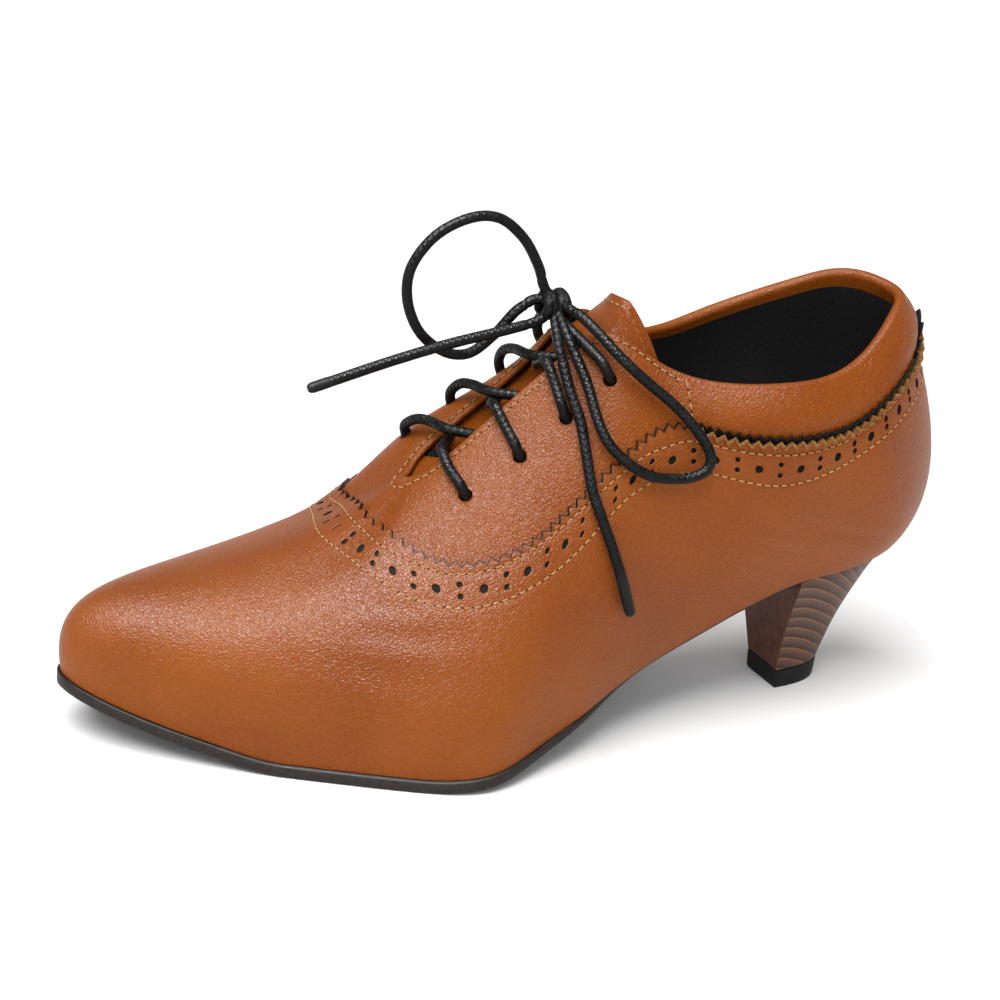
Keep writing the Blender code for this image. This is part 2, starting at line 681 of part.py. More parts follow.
def make_cord(name, path):
    """Lace as a round tube with closed ends through the places of path."""
    curve = bpy.data.curves.new(name, "CURVE")
    curve.dimensions = "3D"
    curve.bevel_depth = 0.5 * LACE * MM
    curve.bevel_resolution = 2
    curve.use_fill_caps = True
    spline = curve.splines.new("POLY")
    spline.points.add(len(path) - 1)
    for point, (x, y, z) in zip(spline.points, path):
        point.co = ((x - BOX_MIDDLE[0]) * MM, (y - BOX_MIDDLE[1]) * MM, z * MM, 1.0)
    curve.materials.append(plain_material(name, (0.013, 0.013, 0.014), 0.55))
    bpy.context.scene.collection.objects.link(bpy.data.objects.new(name, curve))


def make_bow():
    make_cord("lace_knot", knot_route())
    make_cord("lace_loop_up", smooth_route(LOOP_UP, 19))
    make_cord("lace_loop_side", smooth_route(LOOP_SIDE, 20))
    make_cord("lace_end_front", smooth_route(END_FRONT, 9))
    make_cord("lace_end_side", smooth_route(END_SIDE, 11))


def clear_scene():
    for old in list(bpy.data.objects):
        bpy.data.objects.remove(old, do_unlink=True)


def main():
    clear_scene()
    make_outsole()
    make_insole()
    make_upper()
    make_tongue()
    make_heel()
    make_heel_tip()
    make_collar_trim()
    make_lace_crossings()
    make_bow()


main()
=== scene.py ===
"""Looks of the left lace-up oxford pump: leather, stitching, lining, sole, heel and a threaded lace.

Sizes are millimetres from the heel's back on the floor, x to the toe, y to the outer (lateral)
side and z up, as in the part's source. row_frame moves them to the frame, in metres.
"""

import math
from collections import namedtuple

import bmesh
import bpy
import numpy as np
from mathutils import Matrix


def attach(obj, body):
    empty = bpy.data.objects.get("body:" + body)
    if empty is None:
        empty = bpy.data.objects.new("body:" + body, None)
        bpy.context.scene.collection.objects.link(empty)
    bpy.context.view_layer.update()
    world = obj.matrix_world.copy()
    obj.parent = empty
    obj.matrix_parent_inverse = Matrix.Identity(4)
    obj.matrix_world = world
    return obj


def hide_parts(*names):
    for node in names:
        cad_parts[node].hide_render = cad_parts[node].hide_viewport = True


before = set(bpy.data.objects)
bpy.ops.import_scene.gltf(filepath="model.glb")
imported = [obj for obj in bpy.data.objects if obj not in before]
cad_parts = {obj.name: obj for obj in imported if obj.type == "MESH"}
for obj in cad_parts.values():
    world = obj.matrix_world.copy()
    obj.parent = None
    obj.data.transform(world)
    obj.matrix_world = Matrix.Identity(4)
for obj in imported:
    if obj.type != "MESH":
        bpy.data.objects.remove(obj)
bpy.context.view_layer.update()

MM = 0.001
BOX_MIDDLE = np.array([122.85, 5.13, 0.0])

# Driving sizes
LENGTH = 245.0
BALL_WIDTH = 88.0
INSTEP_HEIGHT = 111.0
HEEL_HEIGHT = 40.5
TOE_SPRING = 13.0

# Thicknesses and gaps
GAP = 0.3
SOLE_THICKNESS = 3.4
SHANK_THICKNESS = 2.2
SOLE_TUCK = 3.0
WALL = 2.4
PANEL_STEP = 0.9
INSOLE_THICKNESS = 1.6
TONGUE_THICKNESS = 1.6
LACE = 2.8
EYELET = 3.6
HEEL_TURN = 0.115

# Places along the shoe, as shares of LENGTH from the back of the heel
BREAST_AT = 0.195
FLAT_FROM = 0.655
FLAT_TO = 0.79

# The camera that took the photograph: its place, its turns in degrees, its focal length in pixels,
# the pixel that the render is centred on and how much closer the render frames the one shoe
CAMERA_AT = np.array([374.4, 604.2, 333.4])
CAMERA_YAW = 16.19
CAMERA_PITCH = 21.45
CAMERA_ROLL = 2.96
FOCAL = 1400.0
PICTURE = 1000.0
AIM_PIXEL = (632.0, 541.0)
CLOSER = 1.9

# Form of the last

# Height of the feather line, where the upper meets the sole.
# of_heel is a share of the heel's lift and of_spring one of the toe's.
Level = namedtuple("Level", "along of_heel of_spring")
LEVELS = (
    Level(0.00, 1.200, 0.00),
    Level(0.05, 1.120, 0.00),
    Level(0.11, 1.030, 0.00),
    Level(0.187, 0.945, 0.00),
    Level(0.249, 0.790, 0.00),
    Level(0.300, 0.635, 0.00),
    Level(0.351, 0.500, 0.00),
    Level(0.402, 0.370, 0.00),
    Level(0.463, 0.225, 0.00),
    Level(0.534, 0.095, 0.00),
    Level(0.596, 0.030, 0.00),
    Level(FLAT_FROM, 0.000, 0.00),
    Level(FLAT_TO, 0.000, 0.00),
    Level(0.871, 0.000, 0.29),
    Level(0.932, 0.000, 0.58),
    Level(1.00, 0.000, 1.00),
)

# Sections of the upper from the back of the heel round to the toe, as in the part's source
Section = namedtuple(
    "Section",
    "name along lateral medial top_along top_side top_up inner_rise inner_lift"
    " low_out low_up high_out high_drop high_turn edge puff",
)
SECTIONS = (
    Section("back", 0.032, -0.02, 0.02, 0.073, 0, 1.035, 0, 0, 0.15, 0.09, 0.185, 0.29, 0, 0.895, 3),
    Section("quarter", 0.051, 0.118, 0.145, 0.099, 0.138, 1.015, 0.03, 0, 0.1, 0.1, 0.12, 0.28, 0, 0.822, 3),
    Section("heel side", 0.131, 0.21, 0.222, 0.157, 0.234, 0.92, 0.085, 0, 0.1, 0.13, 0.1, 0.24, 0, 0.8, 3),
    Section("waist", 0.249, 0.225, 0.22, 0.253, 0.3, 0.887, 0.03, 0, 0.11, 0.2, 0.1, 0.2, 0, 0.79, 3),
    Section("collar", 0.342, 0.255, 0.225, 0.338, 0.244, 0.892, 0, 0, 0.1, 0.25, 0.12, 0.18, 0, 0.81, 1.6),
    Section("throat", 0.412, 0.315, 0.245, 0.391, 0.188, 0.944, 0, 0.02, 0.09, 0.28, 0.17, 0.17, 0, 0.77, 0),
    Section("facing", 0.461, 0.385, 0.278, 0.44, 0.14, 0.996, -0.01, 0.09, 0.07, 0.3, 0.2, 0.16, 0, 0.655, 0),
    Section("cone", 0.514, 0.455, 0.335, 0.496, 0.098, 0.91, -0.02, 0.17, 0.06, 0.3, 0.24, 0.14, 0, 0.615, 0),
    Section("instep", 0.567, 0.535, 0.4, 0.547, 0.08, 0.803, -0.01, 0.22, 0.03, 0.27, 0.27, 0.14, 0, 0.6, 0),
    Section("ball", 0.628, 0.542, 0.438, 0.608, 0.064, 0.68, 0, 0.23, 0.035, 0.27, 0.27, 0.12, 0, 0.645, 0),
    Section("vamp", 0.742, 0.41, 0.4, 0.632, 0.036, 0.636, 0, 0.06, 0.045, 0.29, 0.35, 0.17, 12, 0.765, 0),
    Section("toe side", 0.922, 0.142, 0.3, 0.641, 0.016, 0.625, 0, 0, 0.055, 0.33, 0.44, 0.328, 24, 0.868, 0),
    Section("toe", 0.996, -0.08, 0.08, 0.643, 0, 0.624, 0, 0, 0.075, 0.35, 0.47, 0.37, 0, 0.908, 0),
)


def unit(vectors):
    return vectors / np.linalg.norm(vectors, axis=-1, keepdims=True)


def outward_ways(feet):
    """Level ways square to a closed line of (x, y) places, away from its inside."""
    ahead = np.roll(feet, -1, axis=0) - np.roll(feet, 1, axis=0)
    return unit(np.stack([-ahead[:, 1], ahead[:, 0]], axis=1))


def soft_line(at, places, values):
    """Monotone curve through values at places, flat where two neighbours are level."""
    places = np.asarray(places, float)
    values = np.asarray(values, float)
    step = np.diff(places)
    rise = np.diff(values) / step
    slope = np.zeros(len(places))
    slope[0] = rise[0]
    slope[-1] = rise[-1]
    for i in range(1, len(places) - 1):
        if rise[i - 1] * rise[i] > 0:
            before = 2 * step[i] + step[i - 1]
            after = step[i] + 2 * step[i - 1]
            slope[i] = (before + after) / (before / rise[i - 1] + after / rise[i])
    at = np.clip(np.asarray(at, float), places[0], places[-1])
    i = np.clip(np.searchsorted(places, at, side="right") - 1, 0, len(step) - 1)
    t = (at - places[i]) / step[i]
    hold = (1 + 2 * t) * (1 - t) ** 2 * values[i] + t * t * (3 - 2 * t) * values[i + 1]
    lean = step[i] * t * (1 - t) * ((1 - t) * slope[i] - t * slope[i + 1])
    return hold + lean


def feather_height(x):
    """Height of the upper's lower edge at x millimetres from the heel's back."""
    ground = SOLE_THICKNESS + GAP
    lift = [ground + row.of_heel * (HEEL_HEIGHT - ground) + row.of_spring * TOE_SPRING for row in LEVELS]
    return soft_line(np.asarray(x) / LENGTH, [row.along for row in LEVELS], lift)


def ring_spline(knots, values, at):
    """Closed cubic spline through values at knots, whose last knot is the first one again."""
    count = len(values)
    span = np.diff(knots)
    before = np.roll(span, 1)
    rise = (np.roll(values, -1, axis=0) - values) / span[:, None]
    system = np.zeros((count, count))
    for i in range(count):
        system[i, i - 1] += before[i]
        system[i, i] += 2 * (before[i] + span[i])
        system[i, (i + 1) % count] += span[i]
    bend = np.linalg.solve(system, 6 * (rise - np.roll(rise, 1, axis=0)))
    at = np.mod(at, knots[-1])
    i = np.clip(np.searchsorted(knots, at, side="right") - 1, 0, count - 1)
    j = (i + 1) % count
    left = (knots[i + 1] - at)[:, None]
    right = (at - knots[i])[:, None]
    width = span[i][:, None]
    curve = (bend[i] * left**3 + bend[j] * right**3) / (6 * width)
    curve += (values[i] / width - bend[i] * width / 6) * left
    curve += (values[j] / width - bend[j] * width / 6) * right
    return curve


def section_controls():
    """Per section round the whole shoe: four control points, then edge and puff."""
    rows = [(row, 1.0, row.lateral) for row in SECTIONS]
    rows += [(row, -1.0, -row.medial) for row in SECTIONS[-2:0:-1]]
    feet = np.array([[row.along * LENGTH, side_of * BALL_WIDTH] for row, _, side_of in rows])
    controls = []
    for (row, side, _), foot, way in zip(rows, feet, outward_ways(feet)):
        start = np.array([*foot, feather_height(foot[0])])
        rim = row.top_up + (row.inner_rise if side < 0 else 0.0)
        drop = row.high_drop - (row.inner_lift if side < 0 else 0.0)
        top = np.array([row.top_along * LENGTH, side * row.top_side * BALL_WIDTH, rim * INSTEP_HEIGHT])
        outward = np.array([*way, 0.0])
        low = start + outward * row.low_out * BALL_WIDTH
        low[2] += row.low_up * INSTEP_HEIGHT
        turn = -side * np.radians(row.high_turn)
        outward[:2] = np.array([[np.cos(turn), -np.sin(turn)], [np.sin(turn), np.cos(turn)]]) @ way
        high = top + outward * row.high_out * BALL_WIDTH
        high[2] -= drop * INSTEP_HEIGHT
        controls.append([*start, *low, *high, *top, row.edge, row.puff])
    return np.array(controls)


CONTROLS = section_controls()
FEET_STEP = np.linalg.norm(np.roll(CONTROLS[:, 0:3], -1, axis=0) - CONTROLS[:, 0:3], axis=1)
TOP_STEP = np.linalg.norm(np.roll(CONTROLS[:, 9:12], -1, axis=0) - CONTROLS[:, 9:12], axis=1)
KNOTS = np.concatenate([[0.0], np.cumsum(0.5 * (FEET_STEP + TOP_STEP))])
ROUND = KNOTS[-1]


def place(section, medial=False):
    """Where a section, counted from the heel back, lies round the shoe; parts of one lie between two."""
    section = np.asarray(section, float)
    rows = len(CONTROLS) - section if medial else section
    return np.interp(rows, np.arange(len(KNOTS)), KNOTS)


def section_at(around):
    """Section count at places round the shoe, the same on both sides."""
    rows = np.interp(np.mod(around, ROUND), KNOTS, np.arange(len(KNOTS)))
    return np.minimum(rows, len(CONTROLS) - rows)


def upper_rows(around):
    """Control points (n, 4, 3), edge (n) and puff (n) at places round the shoe."""
    rows = ring_spline(KNOTS, CONTROLS, np.asarray(around, float))
    points = rows[:, :12].reshape(-1, 4, 3)
    points[:, :2, 2] += (feather_height(points[:, 0, 0]) - points[:, 0, 2])[:, None]
    return points, rows[:, 12], rows[:, 13]


def on_sections(points, up):
    """Points on the sections at shares up (n, m) of the way from feather line to opening."""
    t = up[..., None]
    weights = ((1 - t) ** 3, 3 * t * (1 - t) ** 2, 3 * t * t * (1 - t), t**3)
    return sum(weight * points[:, None, k] for k, weight in enumerate(weights))


def last_surface(around, up):
    """Points and outward normals of the last at places around (n) and shares up (n, m)."""
    nudge = 0.02
    nudge_up = 0.001
    around = np.asarray(around)
    rows = upper_rows(around)[0]
    ahead, behind = (on_sections(upper_rows(around + step)[0], up) for step in (nudge, -nudge))
    above = on_sections(rows, np.minimum(up + nudge_up, 1.0))
    below = on_sections(rows, np.maximum(up - nudge_up, 0.0))
    return on_sections(rows, up), unit(np.cross(above - below, ahead - behind))


def last_points(around, up):
    """The same for single places: around (n), with up (n) or one share, gives points and normals (n, 3)."""
    up = np.broadcast_to(up, np.shape(around))
    points, normals = last_surface(around, up[:, None])
    return points[:, 0], normals[:, 0]


# How many sections the medial eyelets lie ahead of the lateral ones
INNER_AHEAD = 0.45


def facing_point(section, up, medial):
    """Place and outward way on a facing, by the lateral side's sections."""
    ahead = INNER_AHEAD if medial else 0.0
    points, normals = last_points(place([section + ahead], medial), up)
    return points[0], normals[0]


# Seams of the lower panel: shares of the way up at which its gimped edge and its two stitch rows run
Seam = namedtuple("Seam", "section edge inner outer")
SEAMS = (
    Seam(0.0, 0.900, 0.850, 0.795),
    Seam(0.5, 0.850, 0.815, 0.760),
    Seam(1.0, 0.820, 0.790, 0.720),
    Seam(1.5, 0.805, 0.775, 0.695),
    Seam(2.0, 0.800, 0.770, 0.685),
    Seam(3.0, 0.790, 0.740, 0.610),
    Seam(4.0, 0.810, 0.770, 0.665),
    Seam(4.5, 0.810, 0.760, 0.655),
    Seam(5.0, 0.770, 0.710, 0.620),
    Seam(5.5, 0.710, 0.660, 0.580),
    Seam(6.0, 0.655, 0.615, 0.540),
    Seam(7.0, 0.610, 0.580, 0.485),
    Seam(8.0, 0.600, 0.580, 0.485),
    Seam(9.0, 0.650, 0.615, 0.515),
    Seam(9.5, 0.735, 0.690, 0.575),
    Seam(10.0, 0.810, 0.760, 0.660),
    Seam(11.0, 0.900, 0.875, 0.810),
    Seam(12.0, 0.920, 0.895, 0.835),
)

# The same where the medial side differs
INNER_SEAMS = (
    Seam(7.0, 0.570, 0.530, 0.445),
    Seam(8.0, 0.545, 0.515, 0.425),
    Seam(9.0, 0.535, 0.505, 0.405),
    Seam(9.5, 0.590, 0.560, 0.465),
    Seam(10.0, 0.700, 0.660, 0.580),
    Seam(11.0, 0.890, 0.860, 0.795),
)


def seam_ring():
    """Places of the seams' rows round the whole shoe, and their shares up."""
    inner = {row.section: row for row in SEAMS}
    inner.update({row.section: row for row in INNER_SEAMS})
    rows = [(float(place(row.section)), row) for row in SEAMS]
    rows += [(float(place(row.section, True)), inner[row.section]) for row in SEAMS[-2:0:-1]]
    knots = np.array([at for at, _ in rows] + [ROUND])
    return knots, np.array([[row.edge, row.inner, row.outer] for _, row in rows])


SEAM_KNOTS, SEAM_VALUES = seam_ring()


def seams(around):
    """Shares up of the panel's edge, inner and outer stitch rows at places round the shoe."""
    return ring_spline(SEAM_KNOTS, SEAM_VALUES, np.asarray(around, float)).T


def section_lengths():
    """Places round the shoe and the length of the section there, in millimetres."""
    count = 400
    around = np.linspace(0, ROUND, count)
    points = on_sections(upper_rows(around)[0], np.tile(np.linspace(0, 1, 40), (count, 1)))
    return around, np.linalg.norm(np.diff(points, axis=1), axis=2).sum(axis=1)


LENGTH_PLACES, LENGTH_VALUES = section_lengths()


def climb_length(around):
    return np.interp(np.mod(around, ROUND), LENGTH_PLACES, LENGTH_VALUES)


# Making meshes


def row_frame(points):
    return (np.asarray(points, float) - BOX_MIDDLE) * MM


def grid_faces(rings, per_ring, closed_rings=False, closed_round=False):
    """Quads of a grid of rings by per_ring points."""
    i = np.arange(rings if closed_rings else rings - 1)[:, None]
    j = np.arange(per_ring if closed_round else per_ring - 1)[None]
    after = (i + 1) % rings
    beside = (j + 1) % per_ring
    corners = ((i, j), (after, j), (after, beside), (i, beside))
    return np.stack([row * per_ring + spot for row, spot in corners], axis=-1).reshape(-1, 4)


def capped(rings):
    """Faces of a solid through closed rings (n, m, 3), with a cap at each end."""
    count = rings.shape[1]
    last = (len(rings) - 1) * count
    sides = grid_faces(len(rings), count, closed_round=True).tolist()
    return [*sides, range(count), range(last + count - 1, last - 1, -1)]


def run_along(line):
    """Distance to each point along a line of points."""
    return np.concatenate([[0.0], np.cumsum(np.linalg.norm(np.diff(line, axis=0), axis=1))])


def at_runs(at, run, values):
    """Values (n, 3) along a line at distances between those of its points."""
    return np.stack([np.interp(at, run, values[:, k]) for k in range(3)], axis=-1)


def new_piece(name, points, faces, materials, face_slots=None, weld=0.0, sharp=0.9, outward=True):
    """A smooth-shaded object from points in millimetres, on the shoe's one body."""
    mesh = bpy.data.meshes.new(name)
    corners = row_frame(points).reshape(-1, 3).tolist()
    mesh.from_pydata(corners, [], [tuple(face) for face in faces])
    for material in materials:
        mesh.materials.append(material)
    if face_slots is not None:
        mesh.polygons.foreach_set("material_index", np.asarray(face_slots, np.int32))
    tidy = bmesh.new()
    tidy.from_mesh(mesh)
    if weld:
        bmesh.ops.remove_doubles(tidy, verts=tidy.verts, dist=weld * MM)
    if outward:
        bmesh.ops.recalc_face_normals(tidy, faces=tidy.faces)
    tidy.to_mesh(mesh)
    tidy.free()
    mesh.shade_smooth()
    mesh.set_sharp_from_angle(angle=sharp)
    piece = bpy.data.objects.new(name, mesh)
    bpy.context.scene.collection.objects.link(piece)
    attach(piece, "root")
    return piece


class Parts:
    """Points and faces gathered into one mesh."""

    def __init__(self):
        self.points = []
        self.faces = []
        self.slots = []
        self.count = 0

    def add(self, points, faces, slot=0):
        points = np.asarray(points, float).reshape(-1, 3)
        self.points.append(points)
        self.faces.extend(tuple(int(k) + self.count for k in face) for face in faces)
        self.slots.extend([slot] * len(faces))
        self.count += len(points)

    def piece(self, name, materials, **options):
        points = np.concatenate(self.points)
        return new_piece(name, points, self.faces, materials, face_slots=self.slots, **options)


# Materials


class Finish:
    """A node material under construction, with its Principled shader."""

    def __init__(self, name, colour, roughness, gloss=0.15):
        self.material = bpy.data.materials.new(name)
        self.material.use_nodes = True
        self.tree = self.material.node_tree
        self.shader = self.tree.nodes["Principled BSDF"]
        self.set("Base Color", (*colour, 1.0))
        self.set("Roughness", roughness)
        self.set("Specular IOR Level", gloss)
        coordinates = self.node("ShaderNodeTexCoord")
        self.place = coordinates.outputs["Object"]
        self.unwrapped = coordinates.outputs["UV"]

    def node(self, kind, inputs=None, **options):
        """A node whose inputs are set to values or linked to outputs of other nodes."""
        made = self.tree.nodes.new(kind)
        for name, value in options.items():
            setattr(made, name, value)
        for name, value in (inputs or {}).items():
            self.fill(made.inputs[name], value)
        return made

    def fill(self, socket, value):
        if isinstance(value, bpy.types.NodeSocket):
            self.tree.links.new(value, socket)
        else:
            socket.default_value = value

    def set(self, name, value):
        self.fill(self.shader.inputs[name], value)

    def noise(self, per_metre, detail, stretch=(1.0, 1.0, 1.0), turn=(0.0, 0.0, 0.0)):
        mapping = self.node("ShaderNodeMapping", {"Vector": self.place, "Scale": stretch, "Rotation": turn})
        inputs = {"Vector": mapping.outputs["Vector"], "Scale": per_metre, "Detail": detail}
        return self.node("ShaderNodeTexNoise", {**inputs, "Roughness": 0.55}).outputs["Fac"]

    def cells(self, per_metre, warp):
        """Distance to the edges of irregular cells, as the grain of a hide has."""
        shift = self.node("ShaderNodeTexNoise", {"Vector": self.place, "Scale": per_metre * 0.7})
        inputs = {0: shift.outputs["Color"], 1: (warp, warp, warp), 2: self.place}
        moved = self.node("ShaderNodeVectorMath", inputs, operation="MULTIPLY_ADD")
        inputs = {"Vector": moved.outputs["Vector"], "Scale": per_metre}
        return self.node("ShaderNodeTexVoronoi", inputs, feature="DISTANCE_TO_EDGE").outputs["Distance"]

    def split(self, vector):
        return self.node("ShaderNodeSeparateXYZ", {"Vector": vector}).outputs

    def math(self, operation, *terms):
        return self.node("ShaderNodeMath", dict(enumerate(terms)), operation=operation).outputs["Value"]

    def ramp(self, source, stops):
        """Colours by value: stops are (value, colour)."""
        made = self.node("ShaderNodeValToRGB", {"Fac": source})
        points = made.color_ramp.elements
        while len(points) < len(stops):
            points.new(0.5)
        for point, (at, colour) in zip(points, stops):
            point.position = at
            point.color = (*colour, 1.0)
        return made.outputs["Color"]

    def span(self, source, low, high, to_low, to_high):
        """A value moved from one range to another."""
        inputs = {"Value": source, "From Min": low, "From Max": high, "To Min": to_low, "To Max": to_high}
        return self.node("ShaderNodeMapRange", inputs).outputs["Result"]

    def bump(self, height, depth_mm):
        inputs = {"Height": height, "Strength": 1.0, "Distance": depth_mm * MM}
        self.set("Normal", self.node("ShaderNodeBump", inputs).outputs["Normal"])


def from_srgb(*levels):
    """Linear colour of 8-bit screen levels."""
    shares = [level / 255 for level in levels]
    return tuple(v / 12.92 if v <= 0.04045 else ((v + 0.055) / 1.055) ** 2.4 for v in shares)


def leather(name, wrinkle_mm, grain_mm, gloss):
    """Tan leather with a fine wrinkled grain, a little darker in its hollows."""
    made = Finish(name, from_srgb(130, 64, 9), 0.38, gloss)
    broad = made.noise(26.0, 2.0)
    fine = made.noise(1500.0, 2.0)
    height = made.math("MULTIPLY", fine, grain_mm)
    folds = made.noise(720.0, 2.0, stretch=(1.0, 0.7, 0.9), turn=(0.3, 0.15, 0.3))
    away = made.math("ABSOLUTE", made.math("SUBTRACT", folds, 0.5))
    ridge = made.math("MINIMUM", made.math("MULTIPLY", away, 9.0), 1.0)
    height = made.math("MULTIPLY_ADD", ridge, 0.8 * wrinkle_mm, height)
    pebbles = made.cells(1250.0, 0.0005)
    domes = made.math("MINIMUM", made.math("MULTIPLY", pebbles, 3.0), 0.8)
    height = made.math("MULTIPLY_ADD", domes, wrinkle_mm, height)
    made.bump(height, 1.0)
    tone = made.math("MULTIPLY_ADD", broad, 0.6, made.math("MULTIPLY", fine, 0.4))
    colour = made.ramp(
        tone,
        (
            (0.32, from_srgb(118, 55, 7)),
            (0.50, from_srgb(130, 64, 9)),
            (0.68, from_srgb(138, 71, 12)),
        ),
    )
    made.set("Base Color", colour)
    made.set("Roughness", made.span(broad, 0.3, 0.7, 0.35, 0.42))
    return made.material


def mottled(name, tones, roughness, per_metre, detail, depth_mm, gloss=0.15):
    """Finish whose colour drifts from a low to a high tone over a fine relief, and its mottling.

    tones are the plain colour, the low one and the high one.
    """
    colour, low, high = tones
    made = Finish(name, colour, roughness, gloss)
    speck = made.noise(per_metre, detail)
    made.set("Base Color", made.ramp(speck, ((0.3, low), (0.7, high))))
    if depth_mm:
        made.bump(speck, depth_mm)
    return made, speck


def plain(name, levels, *looks):
    """Mottled material whose three tones are given as screen levels."""
    return mottled(name, [from_srgb(*tone) for tone in levels], *looks)[0].material


def shades(colour, low, high):
    """A colour with a darker and a lighter shade of it."""
    return colour, [low * c for c in colour], [high * c for c in colour]


def black_cloth(name, colour, per_metre, sheen=0.0):
    """Fine black cloth with a faint weave."""
    made, _ = mottled(name, shades(colour, 0.6, 1.7), 0.8, per_metre, 2.0, 0.08, 0.1)
    made.set("Sheen Weight", sheen)
    return made.material


def waxed_cord():
    """Black waxed lace with the fine slanted ribs of its braid."""
    made = Finish("waxed_cord", (0.004, 0.004, 0.004), 0.42, 0.12)
    flat = made.split(made.unwrapped)
    ribs = []
    for lean in (1.0, -1.0):
        turn = made.math("MULTIPLY", flat["X"], 4.0 * lean)
        run = made.math("MULTIPLY_ADD", flat["Y"], 1.6, turn)
        ribs.append(made.math("SINE", made.math("MULTIPLY", run, 2 * math.pi)))
    braid = made.math("MAXIMUM", *ribs)
    wax = made.noise(420.0, 3.0)
    made.set("Roughness", made.span(wax, 0.35, 0.65, 0.34, 0.6))
    low, high = (0.002, 0.002, 0.002), (0.006, 0.006, 0.006)
    made.set("Base Color", made.ramp(wax, ((0.3, low), (0.75, high))))
    made.bump(made.math("ADD", made.math("MULTIPLY", braid, 0.5), wax), 0.12)
    return made.material


def rubber(name, colour):
    roughness = 0.5
    made, speck = mottled(name, shades(colour, 0.75, 1.35), roughness, 800.0, 4.0, 0.06)
    made.set("Roughness", made.span(speck, 0.3, 0.7, roughness - 0.08, roughness + 0.1))
    return made.material


def heel_wood():
    """Dark wood print whose light grain lines leave the breast level and bend down to the back."""
    pitch = 3.7
    level_to = 44.5
    breast = (level_to - BOX_MIDDLE[0]) * MM
    made = Finish("heel_wood", from_srgb(80, 58, 47), 0.42)
    place_of = made.split(made.place)
    back = made.math("MAXIMUM", made.math("SUBTRACT", breast, place_of["X"]), 0.0)
    fall = made.math("MULTIPLY", made.math("POWER", back, 1.7), 9.0)
    wander = made.math("MULTIPLY", made.noise(70.0, 2.0), 1.6 * MM)
    level = made.math("ADD", made.math("ADD", place_of["Z"], fall), wander)
    saw = made.math("FRACT", made.math("DIVIDE", level, pitch * MM))
    grain = made.noise(700.0, 3.0, stretch=(0.35, 0.35, 1.6))
    tone = made.math("ADD", saw, made.math("MULTIPLY", made.math("SUBTRACT", grain, 0.5), 0.16))
    colour = made.ramp(
        tone,
        (
            (0.00, from_srgb(52, 36, 29)),
            (0.16, from_srgb(60, 42, 34)),
            (0.62, from_srgb(84, 62, 50)),
            (0.80, from_srgb(90, 64, 50)),
            (0.90, from_srgb(128, 84, 54)),
            (0.97, from_srgb(112, 72, 46)),
        ),
    )
    made.set("Base Color", colour)
    made.bump(grain, 0.05)
    return made.material


# raw_edge is the leather's cut, edge_paint_and_shade the dark paint on it along the front and the painted
# shade along the tips of the front teeth, heel_face the brown wrap on the heel's breast
LEATHER = leather("panel_leather", 0.085, 0.05, 0.165)
TOP_LEATHER = leather("facing_leather", 0.085, 0.06, 0.115)
RAW_EDGE = plain("raw_edge", ((140, 94, 42), (92, 56, 22), (168, 120, 60)), 0.8, 1500.0, 3.0, 0.1)
EDGE_PAINT_AND_SHADE = plain("edge_paint_and_shade", ((34, 21, 12), (20, 12, 8), (52, 31, 17)), 0.6, 1500.0, 3.0, 0.08)
LINING = black_cloth("lining_cloth", (0.006, 0.006, 0.007), 1400.0, 0.06)
SOCK = black_cloth("sock_cloth", (0.008, 0.008, 0.009), 900.0, 0.06)
# Painted shade: flat black inside the punched holes and on the needle holes between the stitches
PAINTED_HOLE_SHADE = black_cloth("painted_hole_shade", (0.004, 0.003, 0.002), 1400.0)
GIMP = black_cloth("gimp_black", (0.004, 0.004, 0.004), 1200.0)
THREAD = plain("thread", ((168, 126, 72), (138, 96, 50), (186, 146, 90)), 0.65, 2400.0, 2.0, 0.06)
CORD = waxed_cord()
SOLE = rubber("sole_rubber", from_srgb(38, 33, 31))
TIP = rubber("tip_rubber", from_srgb(16, 16, 16))
HEEL_WOOD = heel_wood()
HEEL_FACE = plain("heel_face", ((84, 50, 38), (70, 40, 30), (98, 60, 46)), 0.45, 300.0, 3.0, 0.05)


# The lower panel

# Sizes of the band's cells and holes, of the gimped edge and of the grooves that the stitches pull in
CELL = 6.2
LARGE_HOLE = 1.1
SMALL_HOLE = 0.72
TOOTH = 1.8
COLLAR_TOOTH = 1.7
TOOTH_PITCH = 3.1
TOOTH_STEPS = 8
EDGE_CURL = 0.8
GROOVE = 0.2
GROOVE_WIDTH = 0.7

# How far the panel's inner face lies below the last, and the section where the collar ends
PANEL_BACK = PANEL_STEP - 0.05
COLLAR_END = 4.4

# Places of the panel's materials
FACE, HOLE, RAW, PAINTED_EDGE_AND_SHADE = range(4)

# Rings of a punched hole, from its rolled border to its floor: share of its radius, and height
HOLE_RINGS = ((1.35, 0.0), (1.1, -0.04), (1.0, -0.12), (0.96, -0.48))

# Creases on the panel, from one place to another by section and share up, with depth and half width
Crease = namedtuple("Crease", "medial from_section from_up to_section to_up depth width")
CREASES = (
    Crease(False, 9.1, 0.50, 10.4, 0.60, 0.30, 2.6),
    Crease(False, 8.7, 0.42, 10.0, 0.47, 0.34, 3.0),
    Crease(False, 9.3, 0.30, 10.3, 0.36, 0.22, 3.2),
    Crease(False, 10.3, 0.50, 11.4, 0.66, 0.20, 2.8),
    Crease(False, 1.2, 0.22, 2.3, 0.50, 0.22, 1.8),
    Crease(False, 1.6, 0.16, 2.7, 0.42, 0.24, 2.0),
    Crease(False, 2.2, 0.12, 3.2, 0.36, 0.18, 2.0),
    Crease(True, 9.1, 0.50, 10.4, 0.60, 0.30, 2.6),
    Crease(True, 8.7, 0.40, 9.9, 0.46, 0.34, 3.0),
    Crease(True, 1.3, 0.20, 2.4, 0.48, 0.22, 1.8),
    Crease(True, 2.0, 0.14, 3.0, 0.38, 0.20, 2.0),
)


